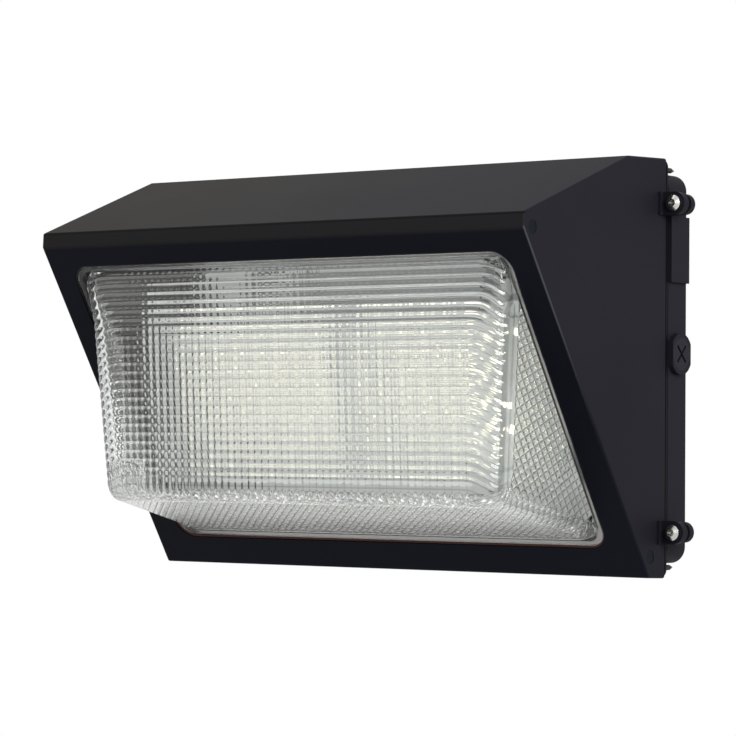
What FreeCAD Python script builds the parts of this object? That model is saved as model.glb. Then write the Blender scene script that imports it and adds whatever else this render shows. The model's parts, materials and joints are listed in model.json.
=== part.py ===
import FreeCAD, Part
import os
import re
import Sketcher

# Wall pack light: a shallow wall box, and a wedge-shaped door frame hinged on its left side
# that carries a ribbed glass lens, the LED boards and their driver.
# Row frame: X to the viewer's right, Y into the wall (wall plane Y = 0), Z up.
# A "depth" is a distance out from the wall, so its place is at Y = -depth.

doc = FreeCAD.newDocument("wall_pack_light")

# ---------------------------------------------------------------- driving dimensions, mm
SIZES = {
    # door frame, outer form
    "door_width": 361.0,
    "door_height": 246.0,
    "seam_depth": 25.0,
    "ridge_depth": 64.0,
    "ridge_fall": 1.4,
    "lip_depth": 171.2,
    "lip_lean": 0.5,
    "lip_fall": 39.2,
    "lip_height": 8.8,
    "foot_depth": 42.3,
    "foot_rise": 0.6,
    "side_fall": 4.7,
    "wall": 2.5,
    "edge_radius": 1.6,
    # window in the sloped face, measured down the slope from the lip
    "window_margin": 20.5,
    "window_top": 14.0,
    "window_foot": 19.86,
    "window_radius": 13.0,
    # glass lens
    "glass_wall": 4.0,
    "glass_side_step": 4.2,
    "glass_taper": 7.6,
    "glass_band": 5.0,
    "glass_corner_down": 143.0,
    "glass_corner_out": 54.0,
    "glass_top_sink": 3.4,
    "glass_corner_radius": 12.0,
    "glass_edge_radius": 8.0,
    "flange_reach": 6.0,
    "flange_thickness": 3.0,
    "band_sink": 1.0,
    # lens gasket
    "gasket_thickness": 2.5,
    "gasket_lip": 1.0,
    "gasket_sink": 0.8,
    # lens clips
    "clip_thickness": 1.2,
    "clip_width": 14.0,
    "clip_bite": 4.0,
    "clip_boss_radius": 3.4,
    "clip_screw_radius": 1.5,
    "clip_head_radius": 2.8,
    "clip_head_height": 1.8,
    "clip_top_down": 50.0,
    "clip_pitch": 62.0,
    # tray, its gasket and its screws
    "tray_gasket_thickness": 0.8,
    "tray_gasket_width": 6.0,
    "tray_thickness": 1.6,
    "tray_radius": 5.0,
    "tray_screw_inset": 7.0,
    "tray_screw_margin": 5.7,
    "tray_screw_radius": 1.6,
    "tray_screw_tip": 4.0,
    "tray_screw_taper": 4.0,
    "tray_boss_radius": 4.4,
    "tray_boss_length": 6.0,
    "screw_clearance": 0.2,
    # wall box
    "box_side_inset": 0.5,
    "box_end_inset": 8.0,
    "box_rim_depth": 21.0,
    "box_wall": 3.0,
    "box_radius": 10.0,
    "housing_gasket_stand": 1.3,
    "housing_gasket_width": 2.0,
    "housing_gasket_inset": 0.5,
    # conduit entries and their plugs
    "conduit_radius": 9.6,
    "conduit_boss_radius": 12.3,
    "conduit_boss_stand": 3.4,
    "conduit_centre_depth": 10.8,
    "conduit_centre_z": 8.5,
    "plug_slot_span": 14.0,
    "plug_slot_width": 1.6,
    "plug_slot_depth": 1.8,
    # wall mounting holes
    "mount_margin": 30.0,
    "mount_radius": 3.5,
    "junction_spacing": 88.9,
    "junction_radius": 2.4,
    "wire_entry_radius": 11.0,
    "pad_stand": 2.2,
    "pad_height": 39.0,
    "pad_centre_z": 70.0,
    # ears and door screws
    "ear_stand": 8.7,
    "ear_drop": 27.0,
    "door_ear_radius": 6.75,
    "door_ear_front": 30.5,
    "door_ear_back": 25.0,
    "ear_rib_front": 33.6,
    "ear_rib_stand": 1.4,
    "box_ear_radius": 6.1,
    "box_ear_back": 16.4,
    "door_screw_radius": 2.4,
    "door_screw_waist": 1.9,
    "door_screw_thread": 6.0,
    "door_screw_head": 4.6,
    "door_screw_head_height": 3.2,
    "door_screw_seat": 0.1,
    "captive_clearance": 0.2,
    "captive_bore": 3.0,
    "captive_bore_depth": 3.0,
    "ear_thread_clearance": 0.4,
    # hinge
    "hinge_stand": 8.0,
    "hinge_depth": 24.0,
    "hinge_radius": 5.0,
    "hinge_pin_radius": 2.0,
    "hinge_play": 0.06,
    "knuckle_length": 12.0,
    "knuckle_gap": 0.4,
    "hinge_web": 8.0,
    "hinge_pin_head": 3.2,
    "hinge_pin_head_height": 1.5,
    # accessory holes in the door frame's sides
    "accessory_radius": 4.0,
    "accessory_front_inset": 8.2,
    "accessory_front_fall": 8.1,
    "accessory_rear_inset": 15.6,
    "accessory_rear_rise": 12.8,
    "accessory_plug_length": 5.0,
    # LED bracket, boards and pan
    "bracket_tilt": 20.0,
    "bracket_depth": 78.0,
    "bracket_centre_z": -14.0,
    "bracket_thickness": 2.0,
    "bracket_width": 300.0,
    "bracket_height": 118.0,
    "bracket_leg_width": 16.0,
    "bracket_leg_x": 138.0,
    "board_width": 128.0,
    "board_height": 92.0,
    "board_thickness": 1.6,
    "board_gap": 8.0,
    "pad_thickness": 0.5,
    "chip_size": 3.5,
    "chip_height": 0.7,
    "chip_pitch_x": 15.0,
    "chip_pitch_z": 15.0,
    "board_screw_radius": 1.5,
    "board_screw_head": 2.8,
    "board_screw_head_height": 1.6,
    "board_screw_inset": 4.5,
    "pan_thickness": 0.8,
    "pan_margin": 3.0,
    "pan_flare": 20.0,
    "pan_flare_rise": 6.0,
    # driver and surge protector on the tray
    "driver_length": 150.0,
    "driver_height": 42.0,
    "driver_thickness": 30.0,
    "driver_drop": 39.0,
    "driver_tab": 12.0,
    "driver_tab_thickness": 2.0,
    "small_screw_radius": 1.8,
    "small_head_radius": 3.4,
    "small_head_height": 2.0,
    "surge_length": 46.0,
    "surge_height": 26.0,
    "surge_thickness": 20.0,
    "surge_x": 126.0,
    # wiring
    "lead_radius": 1.1,
    "lead_spacing": 4.0,
    "grommet_x": -110.0,
    "grommet_z": 40.0,
    "grommet_bore": 5.0,
    "grommet_hole": 7.0,
    "grommet_flange": 9.5,
    "grommet_flange_thickness": 1.2,
    "disconnect_width": 14.0,
    "disconnect_thickness": 9.0,
    "disconnect_length": 24.0,
    "tail_length": 16.0,
    "ground_x": -60.0,
    "ground_z": -80.0,
    "ground_boss_radius": 5.0,
    "ground_boss_height": 5.0,
    # clearance between pieces that only face each other
    "face_gap": 0.3,
}

# What follows from the driving dimensions: the tilt of the sloped face and of the glass in it,
# and the depths of the faces that pieces are stacked on.
DERIVED = {
    "ridge_height": "door_height / 2 - ridge_fall",
    "lip_top": "ridge_height - lip_fall",
    "lip_bottom": "lip_top - lip_height",
    "lip_foot_depth": "lip_depth + lip_lean",
    "foot_drop": "door_height / 2 - foot_rise",
    "window_half": "door_width / 2 - window_margin",
    "glass_half": "window_half - glass_side_step",
    "tray_screw_x": "door_width / 2 - tray_screw_inset",
    "tray_screw_z": "door_height / 2 - tray_screw_margin",
    "box_width": "door_width - 2 * box_side_inset",
    "box_height": "door_height - 2 * box_end_inset",
    "mount_x": "box_width - 2 * mount_margin",
    "mount_z": "box_height - 2 * mount_margin",
    "driver_z": "door_height / 2 - driver_drop",
    "ear_z": "door_height / 2 - ear_drop",
    "ear_x": "door_width / 2 + ear_stand",
    "hinge_x": "door_width / 2 + hinge_stand",
    "accessory_front_depth": "lip_foot_depth - accessory_front_inset",
    "accessory_front_z": "lip_top - accessory_front_fall",
    "accessory_rear_depth": "seam_depth + accessory_rear_inset",
    "accessory_rear_z": "door_height / 2 - accessory_rear_rise",
    "roof_slope": "(ridge_height - lip_top) / (lip_depth - ridge_depth)",
    "face_slope": "(lip_foot_depth - foot_depth) / (lip_bottom + foot_drop)",
    "face_tilt": "atan(face_slope)",
    "window_bottom": "(lip_bottom + foot_drop) / cos(face_tilt) - window_foot",
    "glass_front_tilt": "atan((glass_corner_out + glass_top_sink)"
                        " / (glass_corner_down - window_top - glass_band))",
    "glass_under_tilt": "atan((glass_corner_out + band_sink)"
                        " / (window_bottom - glass_band - glass_corner_down))",
    "flange_front": "wall + gasket_thickness",
    "flange_back": "flange_front + flange_thickness",
    "tray_front_depth": "seam_depth - tray_gasket_thickness",
    "tray_back_depth": "tray_front_depth - tray_thickness",
    "thread_front_depth": "box_rim_depth + face_gap",
    "board_face": "bracket_thickness + pad_thickness + board_thickness",
    "driver_end": "driver_length / 2 + driver_tab / 2",
}

sheet = doc.addObject("Spreadsheet::Sheet", "dims")
for row, (alias, size) in enumerate(SIZES.items(), start=1):
    sheet.set(f"A{row}", alias)
    sheet.set(f"B{row}", str(size))
    sheet.setAlias(f"B{row}", alias)
for row, (alias, formula) in enumerate(DERIVED.items(), start=len(SIZES) + 1):
    sheet.set(f"A{row}", alias)
    sheet.set(f"B{row}", f"={formula}")
    sheet.setAlias(f"B{row}", alias)
doc.recompute()

NAMES = re.compile(r"\b(" + "|".join([*SIZES, *DERIVED]) + r")\b")
X_AXIS = FreeCAD.Vector(1, 0, 0)
Y_AXIS = FreeCAD.Vector(0, 1, 0)
Z_AXIS = FreeCAD.Vector(0, 0, 1)


# ---------------------------------------------------------------- helpers
def from_sheet(formula):
    """The formula with each dimension's name pointed at the sheet."""
    return NAMES.sub(r"dims.\1", str(formula))


def bind(thing, prop, formula):
    """Ties one property to a formula of the sheet's dimensions."""
    thing.setExpression(prop, from_sheet(formula))


def number(formula):
    """What a formula comes to now, as a plain number."""
    found = sheet.evalExpression(from_sheet(formula))
    return float(getattr(found, "Value", found))


def bind_place(thing, x, y, z):
    for axis, formula in zip("xyz", (x, y, z)):
        bind(thing, f"Placement.Base.{axis}", formula)


def on_slope(thing, x="0", down="0", out="0"):
    """Puts a thing in the sloped face's own frame: X across, Y up the slope, Z out of the face.

    down is measured down the slope from the lip, and out is measured out of the face.
    """
    thing.Placement.Rotation = FreeCAD.Rotation(X_AXIS, 123)
    bind(thing, "Placement.Rotation.Angle", "90 deg + face_tilt")
    along = f"({down})"
    proud = f"({out})"
    bind_place(
        thing,
        x,
        f"-lip_foot_depth + {along} * sin(face_tilt) - {proud} * cos(face_tilt)",
        f"lip_bottom - {along} * cos(face_tilt) - {proud} * sin(face_tilt)",
    )
    return thing


def on_bracket(thing, x="0", rise="0", out="0"):
    """Puts a thing in the LED bracket's frame: X across, Y up the bracket, Z out of its front."""
    thing.Placement.Rotation = FreeCAD.Rotation(X_AXIS, 110)
    bind(thing, "Placement.Rotation.Angle", "90 deg + bracket_tilt * 1 deg")
    up = f"({rise})"
    proud = f"({out})"
    tilt = "bracket_tilt * 1 deg"
    bind_place(
        thing,
        x,
        f"-bracket_depth - {up} * sin({tilt}) - {proud} * cos({tilt})",
        f"bracket_centre_z + {up} * cos({tilt}) - {proud} * sin({tilt})",
    )
    return thing


def new_body(label):
    made = doc.addObject("PartDesign::Body", label)
    made.Label = label
    return made


def new_sketch(body, role, offset="0"):
    """A sketch on one of the body's own origin planes, moved along that plane's normal."""
    made = body.newObject("Sketcher::SketchObject", f"{body.Label}_sketch")
    plane = next(one for one in body.Origin.OriginFeatures if one.Role == role)
    made.AttachmentSupport = [(plane, "")]
    made.MapMode = "FlatFace"
    bind(made, "AttachmentOffset.Base.z", offset)
    return made


def fix(sketch, kind, geometry, point, formula):
    """A coordinate of one sketch point, tied to a formula."""
    index = sketch.addConstraint(Sketcher.Constraint(kind, geometry, point, number(formula)))
    bind(sketch, f"Constraints[{index}]", formula)


def polygon(sketch, points):
    """A closed outline of straight lines through points, each a pair of formulas."""
    first = sketch.GeometryCount
    count = len(points)
    corners = [FreeCAD.Vector(number(across), number(up), 0) for across, up in points]
    for index in range(count):
        sketch.addGeometry(Part.LineSegment(corners[index], corners[(index + 1) % count]), False)
    for index, (across, up) in enumerate(points):
        after = first + (index + 1) % count
        sketch.addConstraint(Sketcher.Constraint("Coincident", first + index, 2, after, 1))
        fix(sketch, "DistanceX", first + index, 1, across)
        fix(sketch, "DistanceY", first + index, 1, up)


def rounded_rectangle(sketch, left, right, bottom, top, radius):
    """A closed rectangle with equal round corners; all sizes are formulas."""
    first = sketch.GeometryCount
    west, east, south, north = (number(one) for one in (left, right, bottom, top))
    bend = number(radius)
    vector = FreeCAD.Vector
    sides = (
        (vector(west + bend, south, 0), vector(east - bend, south, 0)),
        (vector(east, south + bend, 0), vector(east, north - bend, 0)),
        (vector(east - bend, north, 0), vector(west + bend, north, 0)),
        (vector(west, north - bend, 0), vector(west, south + bend, 0)),
    )
    centres = (
        (vector(east - bend, south + bend, 0), 270),
        (vector(east - bend, north - bend, 0), 0),
        (vector(west + bend, north - bend, 0), 90),
        (vector(west + bend, south + bend, 0), 180),
    )
    for side, (centre, start) in zip(sides, centres):
        sketch.addGeometry(Part.LineSegment(*side), False)
        circle = Part.Circle(centre, Z_AXIS, bend)
        low = FreeCAD.Units.Quantity(start, FreeCAD.Units.Angle).getValueAs("rad").Value
        high = FreeCAD.Units.Quantity(start + 90, FreeCAD.Units.Angle).getValueAs("rad").Value
        sketch.addGeometry(Part.ArcOfCircle(circle, low, high), False)
    for corner in range(4):
        line = first + 2 * corner
        arc = line + 1
        after = first + (2 * corner + 2) % 8
        sketch.addConstraint(Sketcher.Constraint("Tangent", line, 2, arc, 1))
        sketch.addConstraint(Sketcher.Constraint("Tangent", arc, 2, after, 1))
        if corner:
            sketch.addConstraint(Sketcher.Constraint("Equal", first + 1, arc))
    for line, kind in ((0, "Horizontal"), (2, "Vertical"), (4, "Horizontal"), (6, "Vertical")):
        sketch.addConstraint(Sketcher.Constraint(kind, first + line))
    index = sketch.addConstraint(Sketcher.Constraint("Radius", first + 1, bend))
    bind(sketch, f"Constraints[{index}]", radius)
    fix(sketch, "DistanceY", first, 1, bottom)
    fix(sketch, "DistanceX", first + 2, 1, right)
    fix(sketch, "DistanceY", first + 4, 1, top)
    fix(sketch, "DistanceX", first + 6, 1, left)


def pad(body, sketch, length, midplane=False):
    made = body.newObject("PartDesign::Pad", f"{body.Label}_pad")
    made.Profile = sketch
    bind(made, "Length", length)
    made.Midplane = midplane
    return made


def pocket(body, sketch, length, midplane=False):
    made = body.newObject("PartDesign::Pocket", f"{body.Label}_pocket")
    made.Profile = sketch
    bind(made, "Length", length)
    made.Midplane = midplane
    return made


def fillet(body, feature, radius, wanted):
    """Rounds the feature's edges whose middle point passes the wanted test."""
    doc.recompute()
    names = []
    for index, edge in enumerate(feature.Shape.Edges, start=1):
        middle = edge.valueAt((edge.FirstParameter + edge.LastParameter) / 2)
        if wanted(middle, edge):
            names.append(f"Edge{index}")
    made = body.newObject("PartDesign::Fillet", f"{body.Label}_fillet")
    made.Base = (feature, names)
    bind(made, "Radius", radius)
    return made


def slab(label, left, right, bottom, top, radius, start, thickness, role="XY_Plane"):
    """A flat piece with round corners, padded from start along the plane's normal."""
    body = new_body(label)
    sketch = new_sketch(body, role, start)
    rounded_rectangle(sketch, left, right, bottom, top, radius)
    pad(body, sketch, thickness)
    return body


def box(label, low, size):
    """A box from its low corner and its size, all formulas."""
    made = doc.addObject("Part::Box", label)
    made.Label = label
    for prop, formula in zip(("Length", "Width", "Height"), size):
        bind(made, prop, formula)
    bind_place(made, *low)
    return made


def tilted_box(label, place, middle, size):
    """A box centred on its own X and Y, in the frame that place sets (on_slope or on_bracket)."""
    body = new_body(label)
    sketch = new_sketch(body, "XY_Plane")
    width, height, thickness = size
    half_x = f"({width}) / 2"
    half_y = f"({height}) / 2"
    polygon(sketch, [(f"-{half_x}", f"-{half_y}"), (half_x, f"-{half_y}"),
                     (half_x, half_y), (f"-{half_x}", half_y)])
    pad(body, sketch, thickness)
    return place(body, *middle)


TURNS = {
    "+X": FreeCAD.Rotation(Y_AXIS, 90),
    "-X": FreeCAD.Rotation(Y_AXIS, -90),
    "+Y": FreeCAD.Rotation(X_AXIS, -90),
    "-Y": FreeCAD.Rotation(X_AXIS, 90),
    "+Z": FreeCAD.Rotation(),
    "-Z": FreeCAD.Rotation(X_AXIS, 180),
}


def rod(label, radius, length, start, towards, tip_radius=None):
    """A cylinder, or a cone where tip_radius is given, from its start along a row axis."""
    kind = "Part::Cylinder" if tip_radius is None else "Part::Cone"
    made = doc.addObject(kind, label)
    made.Label = label
    if tip_radius is None:
        bind(made, "Radius", radius)
    else:
        bind(made, "Radius1", radius)
        bind(made, "Radius2", tip_radius)
    bind(made, "Height", length)
    made.Placement.Rotation = TURNS[towards]
    bind_place(made, *start)
    return made


def slope_rod(label, place, radius, length, start):
    """A cylinder standing out of a tilted plane, from its start."""
    made = doc.addObject("Part::Cylinder", label)
    made.Label = label
    bind(made, "Radius", radius)
    bind(made, "Height", length)
    return place(made, *start)


def fuse(label, pieces):
    if len(pieces) == 1:
        return pieces[0]
    made = doc.addObject("Part::MultiFuse", label)
    made.Label = label
    made.Shapes = pieces
    made.Refine = True
    return made


def cut(label, base, tools):
    made = doc.addObject("Part::Cut", label)
    made.Label = label
    made.Base = base
    made.Tool = fuse(f"{label}_tools", tools)
    made.Refine = True
    return made


def group(label, pieces):
    """Identical pieces of one kind, kept as separate solids in one sub-part."""
    made = doc.addObject("Part::Compound", label)
    made.Label = label
    made.Links = pieces
    return made


SIDES = ((1, "right", "+X"), (-1, "left", "-X"))
ENDS = ((1, "upper"), (-1, "lower"))
parts = []


def keep(piece):
    """Notes a finished sub-part for the export."""
    parts.append(piece)
    return piece


# ---------------------------------------------------------------- door frame
def wedge(label, inset, rear_depth):
    """The door frame's wedge form, drawn in by inset on each side, open at rear_depth."""
    body = new_body(label)
    profile = new_sketch(body, "YZ_Plane")
    lean = f"{inset} / cos(face_tilt)"
    polygon(profile, [
        (f"-{rear_depth}", f"door_height / 2 - {inset}"),
        ("-ridge_depth", f"ridge_height - {inset}"),
        (f"-lip_depth + {inset}", f"lip_top + {inset} * roof_slope - {inset}"),
        (f"-lip_foot_depth + {inset}", f"lip_bottom - ({inset} - {lean}) / face_slope"),
        (f"-lip_foot_depth + (lip_bottom + foot_drop - {inset}) * face_slope + {lean}",
         f"-foot_drop + {inset}"),
        (f"-{rear_depth}", f"-door_height / 2 + {inset}"),
    ])
    pad(body, profile, f"door_width - 2 * {inset}", midplane=True)
    sides = new_sketch(body, "XY_Plane")
    for sign, _, _ in SIDES:
        polygon(sides, [
            (f"{sign} * (door_width / 2 - {inset})", "-seam_depth"),
            (f"{sign} * (door_width / 2 - {inset} - side_fall)", "-lip_foot_depth"),
            (f"{sign} * (door_width / 2 - {inset} - side_fall)", "-lip_foot_depth - wall"),
            (f"{sign} * (door_width / 2 + wall)", "-lip_foot_depth - wall"),
            (f"{sign} * (door_width / 2 + wall)", "-seam_depth"),
        ])
    return body, pocket(body, sides, "2 * door_height", midplane=True)


def side_at(depth):
    """The half width of the door frame's outer side at a depth."""
    return f"(door_width / 2 - side_fall * ({depth} - seam_depth) / (lip_foot_depth - seam_depth))"


WINDOW = ("-window_half", "window_half", "-window_bottom", "-window_top", "window_radius")
FLANGE = ("-window_half - flange_reach", "window_half + flange_reach",
          "-window_bottom - flange_reach", "-window_top + flange_reach",
          "window_radius + flange_reach")
BAND = ("-window_half + gasket_lip", "window_half - gasket_lip",
        "-window_bottom + gasket_lip", "-window_top - gasket_lip",
        "window_radius - gasket_lip")
CLIP_X = "(window_half + flange_reach + face_gap + clip_boss_radius)"
CLIP_SPOTS = [(side, step) for side, _, _ in SIDES for step in range(3)]
ACCESSORY_SPOTS = (("accessory_front_depth", "accessory_front_z"),
                   ("accessory_rear_depth", "-accessory_rear_z"))


def clip_place(side, step):
    return f"{side} * {CLIP_X}", f"clip_top_down + {step} * clip_pitch"


def tray_corner(side, end):
    return f"{side} * tray_screw_x", f"{end} * tray_screw_z"


def ear(label, end, radius, front, back, root):
    """A lug with a round end that stands out of the right side, flat across the wall's depth."""
    plate = box(f"{label}_plate", (root, f"-{front}", f"{end} * ear_z - {radius}"),
                (f"ear_x - {root}", f"{front} - {back}", f"2 * {radius}"))
    nose = rod(f"{label}_nose", radius, f"{front} - {back}",
               ("ear_x", f"-{back}", f"{end} * ear_z"), "-Y")
    return [plate, nose]


def knuckle(label, low, length):
    return rod(label, "hinge_radius", length, ("-hinge_x", "-hinge_depth", low), "+Z")


def make_front_housing():
    outer, formed = wedge("door_outer", "0", "seam_depth")
    seam = -number("seam_depth") - 0.5
    fillet(outer, formed, "edge_radius", lambda middle, edge: middle.y < seam)
    inner, _ = wedge("door_inner", "wall", "(seam_depth - wall)")
    window = on_slope(slab("door_window", *WINDOW, "-2 * wall", "4 * wall"))
    shell = cut("door_shell", outer, [inner, window])
    added = [shell]
    holes = []
    for side, step in CLIP_SPOTS:
        across, down = clip_place(side, step)
        start = (across, down, "-flange_back")
        added.append(slope_rod(f"clip_boss_{side}_{step}", on_slope, "clip_boss_radius",
                               "flange_back - wall / 2", start))
        holes.append(slope_rod(f"clip_pilot_{side}_{step}", on_slope, "clip_screw_radius",
                               "flange_back - wall", start))
    for side, word, _ in SIDES:
        for end, level in ENDS:
            across, height = tray_corner(side, end)
            start = (across, "-seam_depth", height)
            added.append(rod(f"tray_boss_{word}_{level}", "tray_boss_radius",
                             "tray_boss_length", start, "-Y"))
            holes.append(rod(f"tray_pilot_{word}_{level}", "tray_screw_radius + screw_clearance",
                             "tray_boss_length + wall", start, "-Y"))
    for end, level in ENDS:
        added.extend(ear(f"door_ear_{level}", end, "door_ear_radius", "door_ear_front",
                         "door_ear_back", "(door_width / 2 - wall)"))
        added.append(box(f"ear_rib_{level}",
                         ("door_width / 2 - wall", "-ear_rib_front",
                          f"{end} * ear_z - door_ear_radius"),
                         ("wall + ear_rib_stand", "ear_rib_front - door_ear_front",
                          "2 * door_ear_radius")))
        at_ear = ("ear_x", "-door_ear_front", f"{end} * ear_z")
        holes.append(rod(f"captive_hole_{level}", "door_screw_waist + captive_clearance",
                         "door_ear_front - door_ear_back", at_ear, "+Y"))
        holes.append(rod(f"captive_counterbore_{level}", "captive_bore", "captive_bore_depth",
                         ("ear_x", "-door_ear_back", f"{end} * ear_z"), "-Y"))
        middle = f"{end} * ear_z - knuckle_length / 2"
        added.append(knuckle(f"door_knuckle_{level}", middle, "knuckle_length"))
        added.append(box(f"door_web_{level}",
                         ("-hinge_x", "-hinge_depth - hinge_radius", middle),
                         ("hinge_x - door_width / 2 + wall",
                          "hinge_depth + hinge_radius - seam_depth", "knuckle_length")))
        holes.append(rod(f"door_hinge_bore_{level}", "hinge_pin_radius + hinge_play",
                         "2 * knuckle_length",
                         ("-hinge_x", "-hinge_depth", f"{end} * ear_z - knuckle_length"), "+Z"))
    for index, (depth, height) in enumerate(ACCESSORY_SPOTS):
        holes.append(rod(f"accessory_hole_{index}", "accessory_radius", "door_width",
                         ("-door_width / 2", f"-{depth}", height), "+X"))
    keep(cut("front_housing", fuse("door_casting", added), holes))


def make_accessory_plugs():
    plugs = []
    for side, word, _ in SIDES:
        inward = "-X" if side > 0 else "+X"
        for index, (depth, height) in enumerate(ACCESSORY_SPOTS):
            face = f"{side} * ({side_at(depth)} - side_fall / 50)"
            plugs.append(rod(f"accessory_plug_{word}_{index}", "accessory_radius",
                             "accessory_plug_length", (face, f"-{depth}", height), inward))
    keep(group("accessory_plugs", plugs))


# ---------------------------------------------------------------- glass lens
def glass_form(label, inset, start):
    """The lens's form in the slope frame: a tapered block cut by its front and under faces."""
    body = new_body(label)
    base = new_sketch(body, "XY_Plane", start)
    rounded_rectangle(
        base,
        f"-glass_half + {inset}",
        f"glass_half - {inset}",
        f"-window_bottom + glass_band + {inset}",
        f"-window_top - glass_band - {inset}",
        "glass_corner_radius",
    )
    block = pad(body, base, "flange_back + glass_corner_out + glass_wall")
    bind(block, "TaperAngle", "-glass_taper")
    spread = "(1 + cos(glass_front_tilt + glass_under_tilt))"
    corner_down = (f"glass_corner_down - {inset} * (sin(glass_under_tilt)"
                   f" - sin(glass_front_tilt)) / {spread}")
    corner_out = (f"glass_corner_out - {inset} * (cos(glass_front_tilt)"
                  f" + cos(glass_under_tilt)) / {spread}")
    over = "glass_corner_out"
    upper = f"(-window_top - glass_band + {over})"
    lower = f"(-window_bottom + glass_band - {over})"
    top = "3 * glass_corner_out"
    profile = new_sketch(body, "YZ_Plane")
    polygon(profile, [
        (upper, f"-glass_top_sink - {over} * tan(glass_front_tilt)"
                f" - {inset} / cos(glass_front_tilt)"),
        (f"-({corner_down})", corner_out),
        (lower, f"-band_sink - {over} * tan(glass_under_tilt)"
                f" - {inset} / cos(glass_under_tilt)"),
        (lower, top),
        (upper, top),
    ])
    shaped = pocket(body, profile, "3 * window_half", midplane=True)
    low = number("glass_edge_radius") / 2
    fillet(body, shaped, f"glass_edge_radius - {inset} / 2",
           lambda middle, edge: middle.z > low)
    return body


def make_glass():
    outer = glass_form("glass_outer", "0", "-flange_back")
    inner = glass_form("glass_inner", "glass_wall", "-flange_back - glass_wall")
    flange = slab("glass_flange", *FLANGE, "-flange_back", "flange_thickness")
    band = slab("glass_band_step", *BAND, "-flange_front - flange_thickness / 2",
                "flange_front + flange_thickness / 2 - band_sink")
    solid = fuse("glass_solid", [outer, flange, band])
    glass = cut("glass_refractor", solid, [inner])
    keep(on_slope(glass))


def make_lens_gasket():
    ring = slab("gasket_ring", *FLANGE, "-flange_front", "gasket_thickness")
    lip = slab("gasket_lip_ring", *WINDOW, "-wall - gasket_thickness / 2",
               "wall + gasket_thickness / 2 - gasket_sink")
    hole = slab("gasket_hole", *BAND, "-flange_back", "2 * flange_back")
    keep(on_slope(cut("lens_gasket", fuse("gasket_solid", [ring, lip]), [hole])))


def make_lens_clips():
    clips = []
    screws = []
    reach = "(2 * clip_boss_radius + face_gap + clip_bite)"
    under = "(flange_back + clip_thickness)"
    for side, step in CLIP_SPOTS:
        across, down = clip_place(side, step)
        name = f"{'right' if side > 0 else 'left'}_{step}"
        middle = f"{side} * ({CLIP_X} + clip_boss_radius - {reach} / 2)"
        blank = tilted_box(f"clip_blank_{name}", on_slope, (middle, down, f"-{under}"),
                           (reach, "clip_width", "clip_thickness"))
        hole = slope_rod(f"clip_hole_{name}", on_slope, "clip_screw_radius + screw_clearance",
                         "3 * clip_thickness", (across, down, f"-{under} - clip_thickness"))
        clips.append(cut(f"clip_{name}", blank, [hole]))
        shank = slope_rod(f"clip_shank_{name}", on_slope, "clip_screw_radius",
                          "clip_thickness + flange_back - wall - face_gap",
                          (across, down, f"-{under}"))
        head = slope_rod(f"clip_head_{name}", on_slope, "clip_head_radius", "clip_head_height",
                         (across, down, f"-{under} - clip_head_height"))
        screws.append(fuse(f"clip_screw_{name}", [shank, head]))
    keep(group("lens_clips", clips))
    keep(group("lens_clip_screws", screws))


# ---------------------------------------------------------------- tray on the door frame's back
def upright(label, margin, radius, front_depth, thickness):
    """A flat upright plate with the door frame's outline less a margin, in front of front_depth."""
    return slab(label, f"-door_width / 2 + {margin}", f"door_width / 2 - {margin}",
                f"-door_height / 2 + {margin}", f"door_height / 2 - {margin}",
                radius, front_depth, thickness, role="XZ_Plane")


def tray_screw_holes(label, radius):
    return [rod(f"{label}_{word}_{level}", radius, "door_ear_back",
                (tray_corner(side, end)[0], "-seam_depth - wall", tray_corner(side, end)[1]), "+Y")
            for side, word, _ in SIDES for end, level in ENDS]


FOOT_SPOTS = [(side, word, step) for side, word, _ in SIDES for step in (1, -1)]
DRIVER_Y = "-(tray_front_depth + driver_thickness / 2)"


def foot_screw_place(side, step):
    return (f"{side} * (bracket_leg_x + bracket_leg_width / 2)",
            f"bracket_centre_z + {step} * bracket_height / 4")


def driver_screw_place(side):
    return f"{side} * driver_end", "driver_z"


def surge_screw_place(side):
    return f"surge_x + {side} * (surge_length / 2 + driver_tab / 2)", "driver_z"


def tray_fastener_places():
    places = [(f"bracket_{word}_{step}", "bracket_thickness", *foot_screw_place(side, step))
              for side, word, step in FOOT_SPOTS]
    places += [(f"driver_{word}", "driver_tab_thickness", *driver_screw_place(side))
               for side, word, _ in SIDES]
    places += [(f"surge_{word}", "driver_tab_thickness", *surge_screw_place(side))
               for side, word, _ in SIDES]
    return places


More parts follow.
